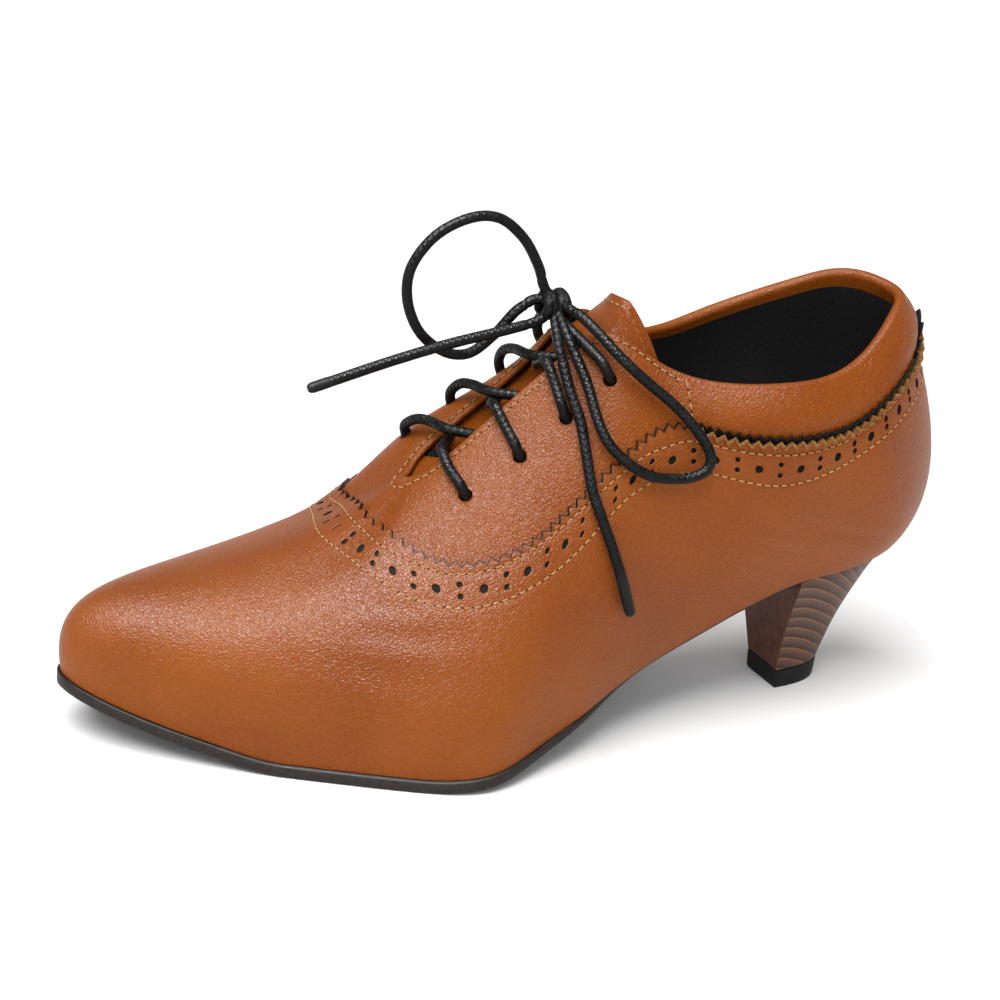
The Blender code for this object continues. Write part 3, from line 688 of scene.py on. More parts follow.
def crease_relief(points):
    """Height of the listed creases at points: a soft trough with low ridges on both sides."""
    relief = np.zeros(points.shape[:-1])
    share = np.linspace(0, 1, 24)
    for row in CREASES:
        section = row.from_section + (row.to_section - row.from_section) * share
        up = row.from_up + (row.to_up - row.from_up) * share
        line = last_points(place(section, row.medial), up)[0]
        reach = 4 * row.width
        near = np.all((points > line.min(axis=0) - reach) & (points < line.max(axis=0) + reach), axis=-1)
        if not near.any():
            continue
        away = np.linalg.norm(points[near][:, None] - line[None], axis=2)
        nearest = away.argmin(axis=1)
        far = away.min(axis=1) / row.width
        fade = np.sin(np.pi * (0.06 + 0.88 * share[nearest]))
        relief[near] += row.depth * fade * (0.55 * np.exp(-((far - 1.7) ** 2)) - np.exp(-(far**2)))
    return relief


def panel_relief(around, up, points):
    """Height of the panel above the last: creases, and grooves along the stitch rows."""
    rows = seams(around)[1:]
    away = [(up - row) * climb_length(around) / GROOVE_WIDTH for row in rows]
    return crease_relief(points) - GROOVE * sum(np.exp(-(far**2)) for far in away)


def panel_points(around, up):
    """Panel surface (n, 3) with its normals at single places."""
    points, normals = last_points(around, up)
    return points + normals * panel_relief(around, up, points)[:, None], normals


def line_measure(share_of, toe_pace=1.0):
    """Places round the shoe and the distance to them along a line at a share of the way up.

    toe_pace makes the distance count for less round the toe.
    """
    around = np.linspace(0, ROUND, 3000)
    line = last_points(around, share_of(seams(around)))[0]
    steps = np.linalg.norm(np.diff(line, axis=0), axis=1)
    steps = steps * np.interp(section_at(around[1:]), (9.3, 9.9), (1.0, toe_pace))
    return around, np.concatenate([[0.0], np.cumsum(steps)])


BAND_PLACES, BAND_RUN = line_measure(lambda rows: 0.5 * (rows[1] + rows[2]))
EDGE_PLACES, EDGE_RUN = line_measure(lambda rows: rows[0], 0.7)
CELLS = 2 * round(BAND_RUN[-1] / (2 * CELL))
CELL_LENGTH = BAND_RUN[-1] / CELLS


def at_run(run):
    return np.interp(run, BAND_RUN, BAND_PLACES)


def cell_steps(index):
    """Columns in a cell of the band: more where the toe spreads them."""
    middle = at_run((index + 0.5) * CELL_LENGTH)
    return 16 if section_at(middle) > 9.2 else 8


def band_runs():
    runs = [i * CELL_LENGTH + np.arange(cell_steps(i)) / cell_steps(i) * CELL_LENGTH for i in range(CELLS)]
    return np.concatenate(runs)


def band_spot(run, across):
    """Panel points at distances run along the band and shares across it, from the inner row out."""
    around = at_run(run)
    _, inner, outer = seams(around)
    return panel_points(around, inner + (outer - inner) * across)


def holed_cell(parts, index, low, high, steps_across, radius, shift=0.0):
    """A cell of the band from shares low to high across it, with one punched hole.

    shift moves the hole from the cell's middle, as a share across it.
    """
    steps = cell_steps(index)
    start = index * CELL_LENGTH
    along = np.arange(steps) / steps
    across = np.arange(steps_across) / steps_across
    near = np.stack([along, np.zeros(steps)], axis=1)
    side = np.stack([np.ones(steps_across), across], axis=1)
    border = np.concatenate([near, side, 1 - near, 1 - side])
    middle = at_run(start + 0.5 * CELL_LENGTH)
    _, inner, outer = seams([middle])
    tall = float((inner - outer)[0] * climb_length(middle)) * (high - low)
    size = np.array([CELL_LENGTH, tall])
    out = (border - 0.5) * size
    centre = np.array([0.0, shift * tall])
    circle = unit(out - centre) * radius
    rings = [centre + share * circle for share, _ in HOLE_RINGS]
    rings = [out, 0.5 * (out + rings[0]), *rings]
    heights = [0.0, 0.0, *(height for _, height in HOLE_RINGS)]
    levels = []
    for ring, height in zip(rings, heights):
        share = ring / size + 0.5
        points, normals = band_spot(start + share[:, 0] * CELL_LENGTH, low + (high - low) * share[:, 1])
        levels.append(points + normals * height)
    count = len(border)
    faces = grid_faces(len(levels) - 1, count, closed_round=True)
    parts.add(levels[:-1], faces, FACE)
    # The hole's wall and floor take the black hole material, which is painted shade
    parts.add(levels[-2:], faces[:count], HOLE)
    parts.add(levels[-1], [range(count)], HOLE)


def inner_feet(around):
    """Lower ends of the panel's inner face."""
    feet, normals = last_points(around, 0.0)
    inward = unit(normals[:, :2]) * PANEL_BACK
    return feet - np.stack([*inward.T, np.zeros(len(around))], axis=1)


def add_gimped_edge(parts):
    """The panel above its inner stitch row: teeth that curl off the shoe, their cut and the inner face."""
    teeth = round(EDGE_RUN[-1] / TOOTH_PITCH)
    phase = np.arange(TOOTH_STEPS * teeth) / TOOTH_STEPS
    columns = len(phase)
    around = np.interp(phase / teeth * EDGE_RUN[-1], EDGE_RUN, EDGE_PLACES)
    section = section_at(around)
    edge, inner, _ = seams(around)
    collar = section < COLLAR_END
    feet = panel_points(around, inner)[0]
    line, normals = panel_points(around, edge)
    half = TOOTH_STEPS // 2
    along = unit(np.roll(line, -half, axis=0) - np.roll(line, half, axis=0))
    rise = unit(np.cross(normals, along))
    rise *= np.sign(((line - feet) * rise).sum(axis=1))[:, None]
    tall = np.where(collar, COLLAR_TOOTH, TOOTH)
    tall = (tall * (0.5 - np.abs(2 * np.mod(phase, 1.0) - 1)))[:, None]
    curl = EDGE_CURL * np.exp(-(((around - place(10.6, True)) / 4.0) ** 2))
    curl += np.interp(section, (0.0, 1.2, 3.8, COLLAR_END), (2.6, 1.5, 1.5, 0.0))
    lip = line + rise * tall + normals * curl[:, None]
    # Dark band along the tips of the front teeth: edge paint, and painted shade for the shadow on the teeth's
    # flanks
    paint_and_shade_band = np.interp(section, (COLLAR_END, COLLAR_END + 0.01, 9.0, 10.0), (0.9, 0.5, 0.5, 0.22))
    rim = lip - rise * paint_and_shade_band[:, None] - normals * (0.3 * curl[:, None])
    upper = [feet]
    for share in (0.14, 0.34, 0.58, 0.8, 1.0):
        bow = normals * (0.35 * share * (1 - share))
        sink = (curl * share * (1 - share))[:, None]
        upper.append(feet + (rim - feet) * share + bow - normals * sink)
    upper.append(lip)
    face = np.stack(upper, axis=1)
    quads = grid_faces(columns, len(upper), closed_rings=True).reshape(columns, len(upper) - 1, 4)
    parts.add(face, quads[:, :-1].reshape(-1, 4), FACE)
    parts.add(face, quads[collar, -1], RAW)
    parts.add(face, quads[~collar, -1], PAINTED_EDGE_AND_SHADE)

    deep = line + rise * tall - normals * PANEL_BACK
    wall = grid_faces(columns, 2, closed_rings=True)
    both = np.stack([lip, deep], axis=1)
    parts.add(both, wall[collar], RAW)
    parts.add(both, wall[~collar], PAINTED_EDGE_AND_SHADE)

    under = [inner_feet(around)]
    for share in np.linspace(0, 1, 9)[1:-1]:
        points, out = last_points(around, (edge - 0.02) * share)
        under.append(points - out * PANEL_BACK)
    under.append(deep)
    parts.add(np.stack(under, axis=1), grid_faces(columns, len(under), closed_rings=True))


def make_panel():
    parts = Parts()
    around = at_run(band_runs())
    outer = seams(around)[2]
    columns = len(around)
    rows = np.concatenate([np.linspace(0, 0.955, 40), [0.97, 0.985, 1.0]])
    lower = [panel_points(around, outer * share)[0] for share in rows]
    parts.add(np.stack(lower, axis=1), grid_faces(columns, len(rows), closed_rings=True))
    bottom = np.stack([lower[0], inner_feet(around)], axis=1)
    parts.add(bottom, grid_faces(columns, 2, closed_rings=True))

    for i in range(CELLS):
        if i % 2 == 0:
            holed_cell(parts, i, 0.0, 1.0, 8, LARGE_HOLE)
        else:
            holed_cell(parts, i, 0.0, 0.5, 4, SMALL_HOLE, 0.1)
            holed_cell(parts, i, 0.5, 1.0, 4, SMALL_HOLE, -0.2)
    add_gimped_edge(parts)

    piece = parts.piece("lower_panel", [LEATHER, PAINTED_HOLE_SHADE, RAW_EDGE, EDGE_PAINT_AND_SHADE], weld=0.004)
    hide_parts("upper")


# Facings, collar and lining

Eyelet = namedtuple("Eyelet", "section up")
EYELETS = (
    Eyelet(8.70, 0.83),
    Eyelet(7.98, 0.84),
    Eyelet(7.12, 0.84),
    Eyelet(6.26, 0.855),
)


def top_height(around, up):
    """Height above the last of the face over the panel's edge: a step down, then the padding's swell."""
    _, edge, puff = upper_rows(around)
    share = np.clip((up - edge) / (1 - edge), 0, 1)
    return puff * np.sin(np.pi * 0.8 * share**0.7) - PANEL_STEP


def top_points(around, up):
    points, normals = last_points(around, up)
    return points + normals * top_height(around, up)[:, None], normals


def eyelet_cutter():
    parts = Parts()
    turn = np.linspace(0, 2 * np.pi, 24, endpoint=False)[:, None]
    beyond = 2.0
    for hole in EYELETS:
        for medial in (False, True):
            middle, way = facing_point(hole.section, hole.up, medial)
            side = unit(np.cross(way, [1.0, 0.0, 0.0]))
            ring = 0.5 * EYELET * (np.cos(turn) * side + np.sin(turn) * np.cross(way, side))
            rings = np.stack([middle + way * beyond + ring, middle - way * (WALL + beyond) + ring])
            parts.add(rings, capped(rings))
    return parts.piece("eyelet_punch", [EDGE_PAINT_AND_SHADE])


def punch_eyelets(piece):
    """Cuts the eyelets out of the facings."""
    punch = eyelet_cutter()
    cut = piece.modifiers.new("eyelets", "BOOLEAN")
    cut.operation = "DIFFERENCE"
    cut.solver = "EXACT"
    cut.material_mode = "TRANSFER"
    cut.object = punch
    graph = bpy.context.evaluated_depsgraph_get()
    punched = bpy.data.meshes.new_from_object(piece.evaluated_get(graph), depsgraph=graph)
    piece.modifiers.clear()
    piece.data = punched
    bpy.data.objects.remove(punch, do_unlink=True)


def make_facings():
    """The shell above the panel: facings and padded collar outside, a rolled rim and the lining."""
    columns = 620
    overlap = 0.07
    around = np.arange(columns) / columns * ROUND
    edge = seams(around)[0]
    hidden = [(share * (edge - overlap), True) for share in np.linspace(0, 1, 8)]
    shown = [(edge - overlap + (1 + overlap - edge) * share, False) for share in np.linspace(0, 1, 30)[1:]]
    rows = []
    for up, below in hidden + shown:
        points, normals = last_points(around, up)
        height = np.full(columns, -PANEL_STEP - 0.05) if below else top_height(around, up) - 0.02
        rows.append(points + normals * height[:, None])
    crown_points, crown_normals = last_points(around, 1.0)
    inner_rim = crown_points - crown_normals * WALL
    crown = unit(crown_points - last_points(around, 0.985)[0])
    middle = 0.5 * (rows[-1] + inner_rim)
    half = rows[-1] - middle
    high = np.linalg.norm(half, axis=1)[:, None] * crown
    for turn in np.linspace(0, np.pi, 11)[1:]:
        rows.append(middle + half * math.cos(turn) + high * math.sin(turn))
    rim_end = len(rows) + 1
    for up in (0.985, 0.965, *np.linspace(0.94, 0.0, 22)):
        points, normals = last_points(around, up)
        rows.append(points - normals * WALL)
    feet, feet_normals = last_points(around, 0.0)
    rows[-1] = feet - np.stack([*unit(feet_normals[:, :2]).T, np.zeros(columns)], axis=1) * WALL
    rows[-1][:, 2] = feather_height(rows[-1][:, 0])
    faces = grid_faces(columns, len(rows), closed_rings=True, closed_round=True)
    row_of = np.tile(np.arange(len(rows)), columns)
    slots = np.where((row_of >= rim_end) & (row_of < len(rows) - 1), 1, 0)
    points = np.stack(rows, axis=1)
    piece = new_piece("facings_and_collar", points, faces, [TOP_LEATHER, LINING], slots)
    punch_eyelets(piece)
    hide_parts("upper")


def make_collar_trim():
    """Black gimped strip that stands behind the panel's teeth round the collar."""
    pitch = 3.0
    root = 1.6
    valley = 1.0
    tooth = 1.4
    first = float(place(COLLAR_END, True))
    last = float(place(COLLAR_END)) + ROUND
    teeth = int((last - first) / pitch)
    around = np.linspace(first, last, TOOTH_STEPS * teeth + 1)
    edge = seams(around)[0]
    length = climb_length(around)
    phase = np.mod(np.arange(len(around)) / TOOTH_STEPS + 0.5, 1.0)
    tip = valley + tooth * (1 - np.abs(2 * phase - 1))
    proud = np.interp(section_at(around), (0.0, 1.2), (1.2, 0.0))[:, None]
    rows = []
    for rise, lift, share in ((-root, 0.25, 0.0), (-0.2, 0.45, 0.5), (0.8, 0.8, 1.0)):
        points, normals = top_points(around, edge + rise / length)
        rows.append(points + normals * (lift + share * proud))
    points, normals = top_points(around, edge + tip / length)
    rows += [points + normals * (1.1 + proud), points + normals * (0.5 + proud)]
    rows.append(top_points(around, edge - root / length)[0])
    rings = np.stack(rows, axis=1)
    piece = new_piece("collar_gimp", rings, capped(rings), [GIMP], sharp=0.5)
    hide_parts("collar_trim")


# Tongue

# How far the tongue hangs between the facings
TONGUE_SAG = 2.4

# The tongue's end above the facings: how far it leans back and rises at its middle and sides, in
# millimetres, and the share of its width that it loses
TongueTop = namedtuple("TongueTop", "lean side_lean rise side_rise narrow")
TONGUE_TOP = TongueTop(4.5, 12.0, 9.5, 6.0, 0.36)


def tongue_sheet(stations, depth):
    """Rows of points across the tongue, depth below the lining of the facings, up to its rounded top."""
    front = 10.8
    top = 6.0
    shares = np.linspace(0.80, 1.0, 9)
    section = np.linspace(front, top, stations)
    from_top = np.clip((section - top) / 0.9, 0, 1)
    sag = TONGUE_SAG * from_top * np.clip((9.3 - section) / 0.5, 0, 1)
    below = WALL + depth + 0.7 * (1 - from_top)
    sides = []
    for medial in (False, True):
        points, normals = last_surface(place(section, medial), np.tile(shares, (stations, 1)))
        points = points - normals * below[:, None, None]
        sides.append(points - sag[:, None, None] * np.array([-0.35, 0.0, 0.94]))
    lateral, medial = sides
    gap = [lateral[:, -1] + (medial[:, -1] - lateral[:, -1]) * share for share in np.linspace(0, 1, 9)[1:-1]]
    rows = np.concatenate([lateral, np.stack(gap, axis=1), medial[:, ::-1]], axis=1)
    last = rows[-1]
    aside = (np.abs(last[:, 1]) / np.abs(last[:, 1]).max()) ** 2
    lean = TONGUE_TOP.lean + (TONGUE_TOP.side_lean - TONGUE_TOP.lean) * aside
    rise = TONGUE_TOP.rise + (TONGUE_TOP.side_rise - TONGUE_TOP.rise) * aside
    edge = last + np.stack([-lean, -TONGUE_TOP.narrow * last[:, 1], rise], axis=1)
    extra = [last + (edge - last) * share for share in np.linspace(0, 1, 15)[1:]]
    return np.concatenate([rows, np.stack(extra)])


def make_tongue():
    """The tongue with its round sides. Gives back the points of its outer face."""
    stations = 80
    below = GAP + 0.2
    roundness = 0.7
    outer = tongue_sheet(stations, below)
    inner = tongue_sheet(stations, below + TONGUE_THICKNESS)
    middle = 0.5 * (outer + inner)
    spread = roundness * unit(middle[:, :1] - middle[:, 1:2])
    other = roundness * unit(middle[:, -1:] - middle[:, -2:-1])
    rings = np.concatenate([outer, middle[:, -1:] + other, inner[:, ::-1], middle[:, :1] + spread], axis=1)
    piece = new_piece("tongue_leather", rings, capped(rings), [TOP_LEATHER])
    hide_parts("tongue")
    return outer


# Stitches

# Length of a stitch, the gap to the next one, the thread's thickness and the radius of the black disc of
# painted shade at each needle hole
STITCH = 1.8
STITCH_GAP = 0.65
THREAD_THICK = 0.44
NEEDLE_HOLE_SHADE = 0.3

# Rings of a stitch: share of its length, lift and share of the thread's thickness
StitchRing = namedtuple("StitchRing", "share lift thick")
STITCH_RINGS = (
    StitchRing(0.00, -0.18, 0.45),
    StitchRing(0.18, 0.12, 0.95),
    StitchRing(0.50, 0.20, 1.00),
    StitchRing(0.82, 0.12, 0.95),
    StitchRing(1.00, -0.18, 0.45),
)


def add_stitches(parts, points, normals):
    """Raised stitches along a line of points, with black discs of painted shade for the needle holes between
    them.
    """
    share, lift, thick = np.array(STITCH_RINGS).T
    radius = 0.5 * THREAD_THICK * thick
    rings = len(STITCH_RINGS)
    sides = 6
    turn = np.linspace(0, 2 * np.pi, sides, endpoint=False)[:, None]
    run = run_along(points)
    count = int(run[-1] / (STITCH + STITCH_GAP))
    part = STITCH / (STITCH + STITCH_GAP)
    at = (np.arange(count)[:, None] + np.append(share * part, 0.5 + 0.5 * part)) * run[-1] / count
    middle = at_runs(at, run, points)
    normal = unit(at_runs(at, run, normals))
    side = np.cross(normal, unit(middle[:, -1:] - middle[:, :1]))
    centre = middle[:, :rings] + normal[:, :rings] * lift[:, None]
    ring = np.cos(turn) * side[:, :rings, None] + np.sin(turn) * normal[:, :rings, None]
    tube = centre[:, :, None] + radius[:, None, None] * ring
    faces = grid_faces(rings, sides, closed_round=True)
    parts.add(tube, (np.arange(count)[:, None, None] * rings * sides + faces).reshape(-1, 4))
    # Flat black discs just above the surface: painted shade for the needle holes
    hole = middle[:, rings:] + normal[:, rings:] * 0.03
    over = np.cross(side, normal)[:, rings:]
    hole = hole + NEEDLE_HOLE_SHADE * (np.cos(turn) * side[:, rings:] + np.sin(turn) * over)
    parts.add(hole, np.arange(count * sides).reshape(-1, sides), HOLE)


def panel_line(row):
    """Stitch row of the panel, by its place in what seams gives."""
    around = np.linspace(0, ROUND, 2400)
    return panel_points(around, seams(around)[row])


def facing_line():
    """Stitch row along the facings: under their top edge, beside the slit and round its front end."""
    ends = 4.5
    around = np.linspace(float(place(ends)), float(place(ends, True)), 900)
    section = section_at(around)
    inset = soft_line(section, (ends, 5.8, 6.4, 9.2, 10.2, 12.0), (2.4, 2.3, 1.6, 1.5, 1.8, 2.3))
    return top_points(around, 1 - inset / climb_length(around))


def collar_seam_line(medial):
    """Row down the seam between facing and collar."""
    section = 4.42
    count = 60
    around = place([section], medial)
    up = np.linspace(0.985, float(seams(around)[0][0]) + 0.01, count)
    return top_points(np.repeat(around, count), up)


def tongue_line(sheet):
    """Row along the top border of the tongue."""
    inset = 2
    below_top = 3
    side_rows = 21
    rows = sheet[-side_rows - below_top : -below_top]
    lateral = rows[:, inset]
    medial = rows[::-1, -1 - inset]
    across = sheet[-1 - below_top, inset:-inset]
    line = np.concatenate([lateral, across[1:-1], medial])
    normals = np.tile(unit(np.array([0.45, 0.0, 0.9])), (len(line), 1))
    return line, normals


def make_stitches(tongue):
    parts = Parts()
    lines = [panel_line(1), panel_line(2), facing_line(), tongue_line(tongue)]
    lines += [collar_seam_line(medial) for medial in (False, True)]
    for points, normals in lines:
        add_stitches(parts, points, normals)
    piece = parts.piece("stitching", [THREAD, PAINTED_HOLE_SHADE], outward=False)


# Sole, heel and insole


def plan_outline(outset):
    """Lateral and medial widths along x of the feather line moved outward, as two (x, y) curves."""
    around = np.linspace(0, ROUND, 1800, endpoint=False)
    feet = upper_rows(around)[0][:, 0, :2]
    feet = feet + outward_ways(feet) * outset
    feet = np.roll(feet, -np.argmin(feet[:, 0]), axis=0)
    tip = np.argmax(feet[:, 0])
    return feet[: tip + 1], np.concatenate([feet[tip:], feet[:1]])[::-1]


def widths_at(x, outset):
    lateral, medial = plan_outline(outset)
    return np.interp(x, lateral[:, 0], lateral[:, 1]), np.interp(x, medial[:, 0], medial[:, 1])


def sole_top(x):
    return feather_height(x) - GAP


def sole_bottom(x):
    """Underside of the outsole: level on the floor under the ball, thinner along the shank."""
    shares = (BREAST_AT, 0.40, FLAT_FROM - 0.04, 1.0)
    thick = (SHANK_THICKNESS, SHANK_THICKNESS, SOLE_THICKNESS, SOLE_THICKNESS)
    return sole_top(x) - soft_line(np.asarray(x) / LENGTH, shares, thick)


def board(stations, outset, top_of, bottom_of, bevel, lean, tuck):
    """Rings of a sole board with rounded edges: lateral edge down, then the medial edge up.

    lean is how far each ring turns from square, as x per y, and tuck how far its sides are drawn in.
    """
    turn = np.linspace(0, 0.5 * np.pi, 5)
    corners = []
    for side, way in ((0, 1.0), (1, -1.0)):
        wide = stations - lean * widths_at(stations, outset)[side]
        full = widths_at(wide, outset)
        middle = 0.5 * (full[0] + full[1])
        wall = full[side] - way * tuck
        inward = np.minimum(bevel, 0.8 * np.abs(wall - middle))
        top = top_of(wide)
        bottom = bottom_of(wide)
        lower = np.minimum(bevel, 0.5 * (top - bottom))
        rim = min(0.4, bevel)
        column = [np.stack([wide, wall - way * np.minimum(rim, inward), top], axis=1)]
        column.append(np.stack([wide, wall, top - np.minimum(rim, lower)], axis=1))
        for angle in turn:
            y = wall - way * inward * (1 - math.cos(angle))
            column.append(np.stack([wide, y, bottom + lower * (1 - math.sin(angle))], axis=1))
        corners.append(column)
    return np.stack(corners[0] + corners[1][::-1], axis=1)


def make_outsole():
    overhang = 0.9
    tip = plan_outline(overhang)[0][-1, 0]
    straight = np.linspace(BREAST_AT * LENGTH + 2 * GAP, FLAT_TO * LENGTH, 90)
    share = np.sin(0.5 * np.pi * np.linspace(0, 1, 70)[1:])
    toe = FLAT_TO * LENGTH + (tip - 0.02 - FLAT_TO * LENGTH) * share
    stations = np.concatenate([straight, toe])
    lean = soft_line(stations / LENGTH, (0.0, BREAST_AT, 0.40, 1.0), (HEEL_TURN, HEEL_TURN, 0.0, 0.0))
    tuck = SOLE_TUCK * soft_line(stations / LENGTH, (0.0, 0.37, 0.50, 1.0), (1.0, 1.0, 0.0, 0.0))
    rings = board(stations, overhang, sole_top, sole_bottom, 0.8, lean, tuck)
    piece = new_piece("sole", rings, capped(rings), [SOLE])
    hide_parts("outsole")


def make_insole():
    inset = -(WALL + GAP + 0.3)
    lateral = plan_outline(inset)[0]
    share = 0.5 - 0.5 * np.cos(np.pi * np.linspace(0, 1, 120))
    stations = lateral[0, 0] + 0.1 + (lateral[-1, 0] - lateral[0, 0] - 0.2) * share

    def bottom(x):
        return feather_height(x) + GAP

    def top(x):
        return bottom(x) + INSOLE_THICKNESS

    straight = np.zeros(len(stations))
    rings = board(stations, inset, top, bottom, 0.3, straight, straight)
    piece = new_piece("sock_lining", rings, capped(rings), [SOCK])
    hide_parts("insole")


# Sections of the heel: height as a share of HEEL_HEIGHT, the back, the breast and half the width
HeelRow = namedtuple("HeelRow", "height back breast half_width")
HEEL_ROWS = (
    HeelRow(0.145, 27.5, 44.8, 7.4),
    HeelRow(0.270, 25.9, 45.3, 8.6),
    HeelRow(0.420, 23.9, 45.8, 10.2),
    HeelRow(0.570, 21.3, 46.4, 12.2),
    HeelRow(0.720, 17.9, 47.0, 14.4),
    HeelRow(0.860, 13.9, 47.5, 16.6),
    HeelRow(0.940, 10.5, 47.8, 17.8),
    HeelRow(1.000, 8.9, 47.8, 18.3),
)
TIP_ROWS = (
    HeelRow(0.000, 28.2, 44.3, 6.9),
    HeelRow(0.015, 27.9, 44.6, 7.2),
    HeelRow(0.137, 27.5, 44.8, 7.4),
)

# Points in a ring of the heel
HEEL_SIDES = 65


def heel_ring(row, grow):
    """D-shaped ring of the heel, turned so that the medial corner of its breast is ahead."""
    fullness = 2.05
    turn = np.linspace(-0.5 * np.pi, 0.5 * np.pi, HEEL_SIDES)
    back = row.back - grow
    wide = row.half_width + grow
    x = row.breast - (row.breast - back) * np.cos(turn) ** (2 / fullness)
    y = wide * np.sign(turn) * np.abs(np.sin(turn)) ** (2 / fullness)
    middle = 0.5 * (TIP_ROWS[0].back + TIP_ROWS[0].breast)
    c, s = math.cos(HEEL_TURN), math.sin(HEEL_TURN)
    along = middle + c * (x - middle) - s * y
    across = s * (x - middle) + c * y
    up = row.height * HEEL_HEIGHT + row.height**3 * (sole_top(along) - HEEL_HEIGHT)
    return np.stack([along, across, up], axis=1)


def strip_cap(first, flip):
    """Quads across a heel ring, which is the same on both sides, so that the cap bends only along x."""
    faces = []
    for i in range(HEEL_SIDES // 2):
        a, b = first + i, first + i + 1
        c, d = first + HEEL_SIDES - 2 - i, first + HEEL_SIDES - 1 - i
        face = (a, b, c, d) if b != c else (a, b, d)
        faces.append(face[::-1] if flip else face)
    return faces


def finer(rows, count):
    """More heel rows on soft curves through the given ones."""
    heights = [row.height for row in rows]
    at = np.linspace(heights[0], heights[-1], count)
    columns = [soft_line(at, heights, [getattr(row, name) for row in rows]) for name in HeelRow._fields[1:]]
    return [HeelRow(*values) for values in zip(at, *columns)]


def heel_solid(name, rows, steps, materials, grow=0.0):
    """Solid through heel rows. Its breast and its caps take the last material."""
    rings = np.array([heel_ring(row, grow) for row in finer(rows, steps)])
    faces = grid_faces(steps, HEEL_SIDES, closed_round=True).tolist()
    breast = len(materials) - 1
    slots = [breast if i % HEEL_SIDES == HEEL_SIDES - 1 else 0 for i in range(len(faces))]
    faces += strip_cap(0, True) + strip_cap((steps - 1) * HEEL_SIDES, False)
    slots += [breast] * (len(faces) - len(slots))
    return new_piece(name, rings, faces, materials, slots, sharp=0.6)


def make_heel():
    piece = heel_solid("heel_block", HEEL_ROWS, 30, [HEEL_WOOD, HEEL_FACE])
    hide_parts("heel")

    tip = heel_solid("heel_top_piece", TIP_ROWS, 9, [TIP], grow=0.12)
    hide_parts("heel_tip")


# Lace

# Routes of the bow: along from the heel's back, to the lateral side and up
Stop = namedtuple("Stop", "along side up")
LOOP_UP = (
    Stop(122.0, -2.0, 120.6),
    Stop(123.4, -2.0, 124.6),
    Stop(128.0, -2.0, 132.0),
    Stop(135.0, -2.0, 137.6),
    Stop(143.0, -2.0, 138.0),
    Stop(152.0, -2.0, 133.6),
    Stop(158.0, -2.0, 125.4),
    Stop(158.4, -2.0, 116.5),
    Stop(154.5, -2.0, 107.8),
    Stop(147.5, -2.0, 102.2),
    Stop(140.5, -2.0, 101.4),
    Stop(134.0, -2.0, 106.2),
    Stop(129.0, -2.0, 112.0),
    Stop(125.2, -2.0, 114.8),
)
LOOP_SIDE = (
    Stop(116.0, 5.4, 114.8),
    Stop(114.5, 9.4, 114.2),
    Stop(111.8, 14.8, 111.6),
    Stop(108.5, 19.4, 107.9),
    Stop(104.5, 22.2, 104.2),
    Stop(99.7, 23.6, 100.2),
    Stop(94.6, 25.2, 96.2),
    Stop(90.0, 27.3, 91.8),
    Stop(86.0, 29.4, 86.8),
    Stop(83.8, 30.8, 82.2),
    Stop(85.0, 31.0, 78.6),
    Stop(89.0, 31.0, 77.0),
    Stop(94.5, 31.0, 77.0),
    Stop(100.5, 31.0, 78.2),
    Stop(106.0, 30.2, 81.2),
    Stop(110.6, 27.8, 85.2),
    Stop(112.9, 25.2, 89.2),
    Stop(114.0, 21.8, 93.6),
    Stop(115.0, 17.4, 99.4),
    Stop(117.2, 11.6, 106.4),
)
END_FRONT = (
    Stop(125.4, 1.5, 110.2),
    Stop(134.0, 2.0, 108.5),
    Stop(148.0, 2.0, 105.6),
    Stop(163.0, 2.3, 101.8),
    Stop(178.0, 2.6, 97.4),
    Stop(185.0, 3.0, 95.5),
)
END_SIDE = (
    Stop(119.9, 10.6, 104.2),
    Stop(118.9, 16.0, 97.0),
    Stop(117.3, 21.2, 90.2),
    Stop(116.8, 25.2, 84.0),
    Stop(116.0, 30.2, 75.0),
    Stop(113.8, 33.3, 68.0),
    Stop(111.0, 35.3, 60.6),
    Stop(108.0, 36.2, 52.6),
    Stop(103.8, 35.6, 41.0),
)

# The knot's wraps from their first place along to their last, and where the lace comes up to it
Wrap = namedtuple("Wrap", "first last side up radius turns")
KNOT = Wrap(115.0, 121.6, -1.0, 114.2, 3.1, 1.9)
KNOT_SIDES = (Stop(118.0, 3.0, 111.5), Stop(119.0, -5.0, 112.0))


def smooth_route(points, count):
    """count places on a rounded curve through route points."""
    points = np.asarray(points, float)
    ends = np.concatenate([[2 * points[0] - points[1]], points, [2 * points[-1] - points[-2]]])
    t = np.linspace(0, len(points) - 1, count)
    i = np.minimum(t.astype(int), len(points) - 2)
    u = (t - i)[:, None]
    a, b, c, d = (ends[i + k] for k in range(4))
    return b + 0.5 * u * (c - a + u * (2 * a - 5 * b + 4 * c - d + u * (3 * (b - c) + d - a)))


def even_route(points, step):
    """Places a step apart on a rounded curve through route points."""
    fine = smooth_route(points, 60 * len(points))
    run = run_along(fine)
    return at_runs(np.linspace(0, run[-1], max(3, round(run[-1] / step))), run, fine)


def cord_rings(path, radii, sides):
    """Rings round a path that don't twist along it."""
    way = unit(np.gradient(path, axis=0))
    side = unit(np.cross(way[0], [0.31, 0.2, 0.93]))
    rings = []
    turn = np.linspace(0, 2 * np.pi, sides, endpoint=False)
    for centre, ahead, radius in zip(path, way, radii):
        side = unit(side - ahead * (side @ ahead))
        other = np.cross(ahead, side)
        rings.append(centre + radius * (np.cos(turn)[:, None] * side + np.sin(turn)[:, None] * other))
    return np.array(rings)


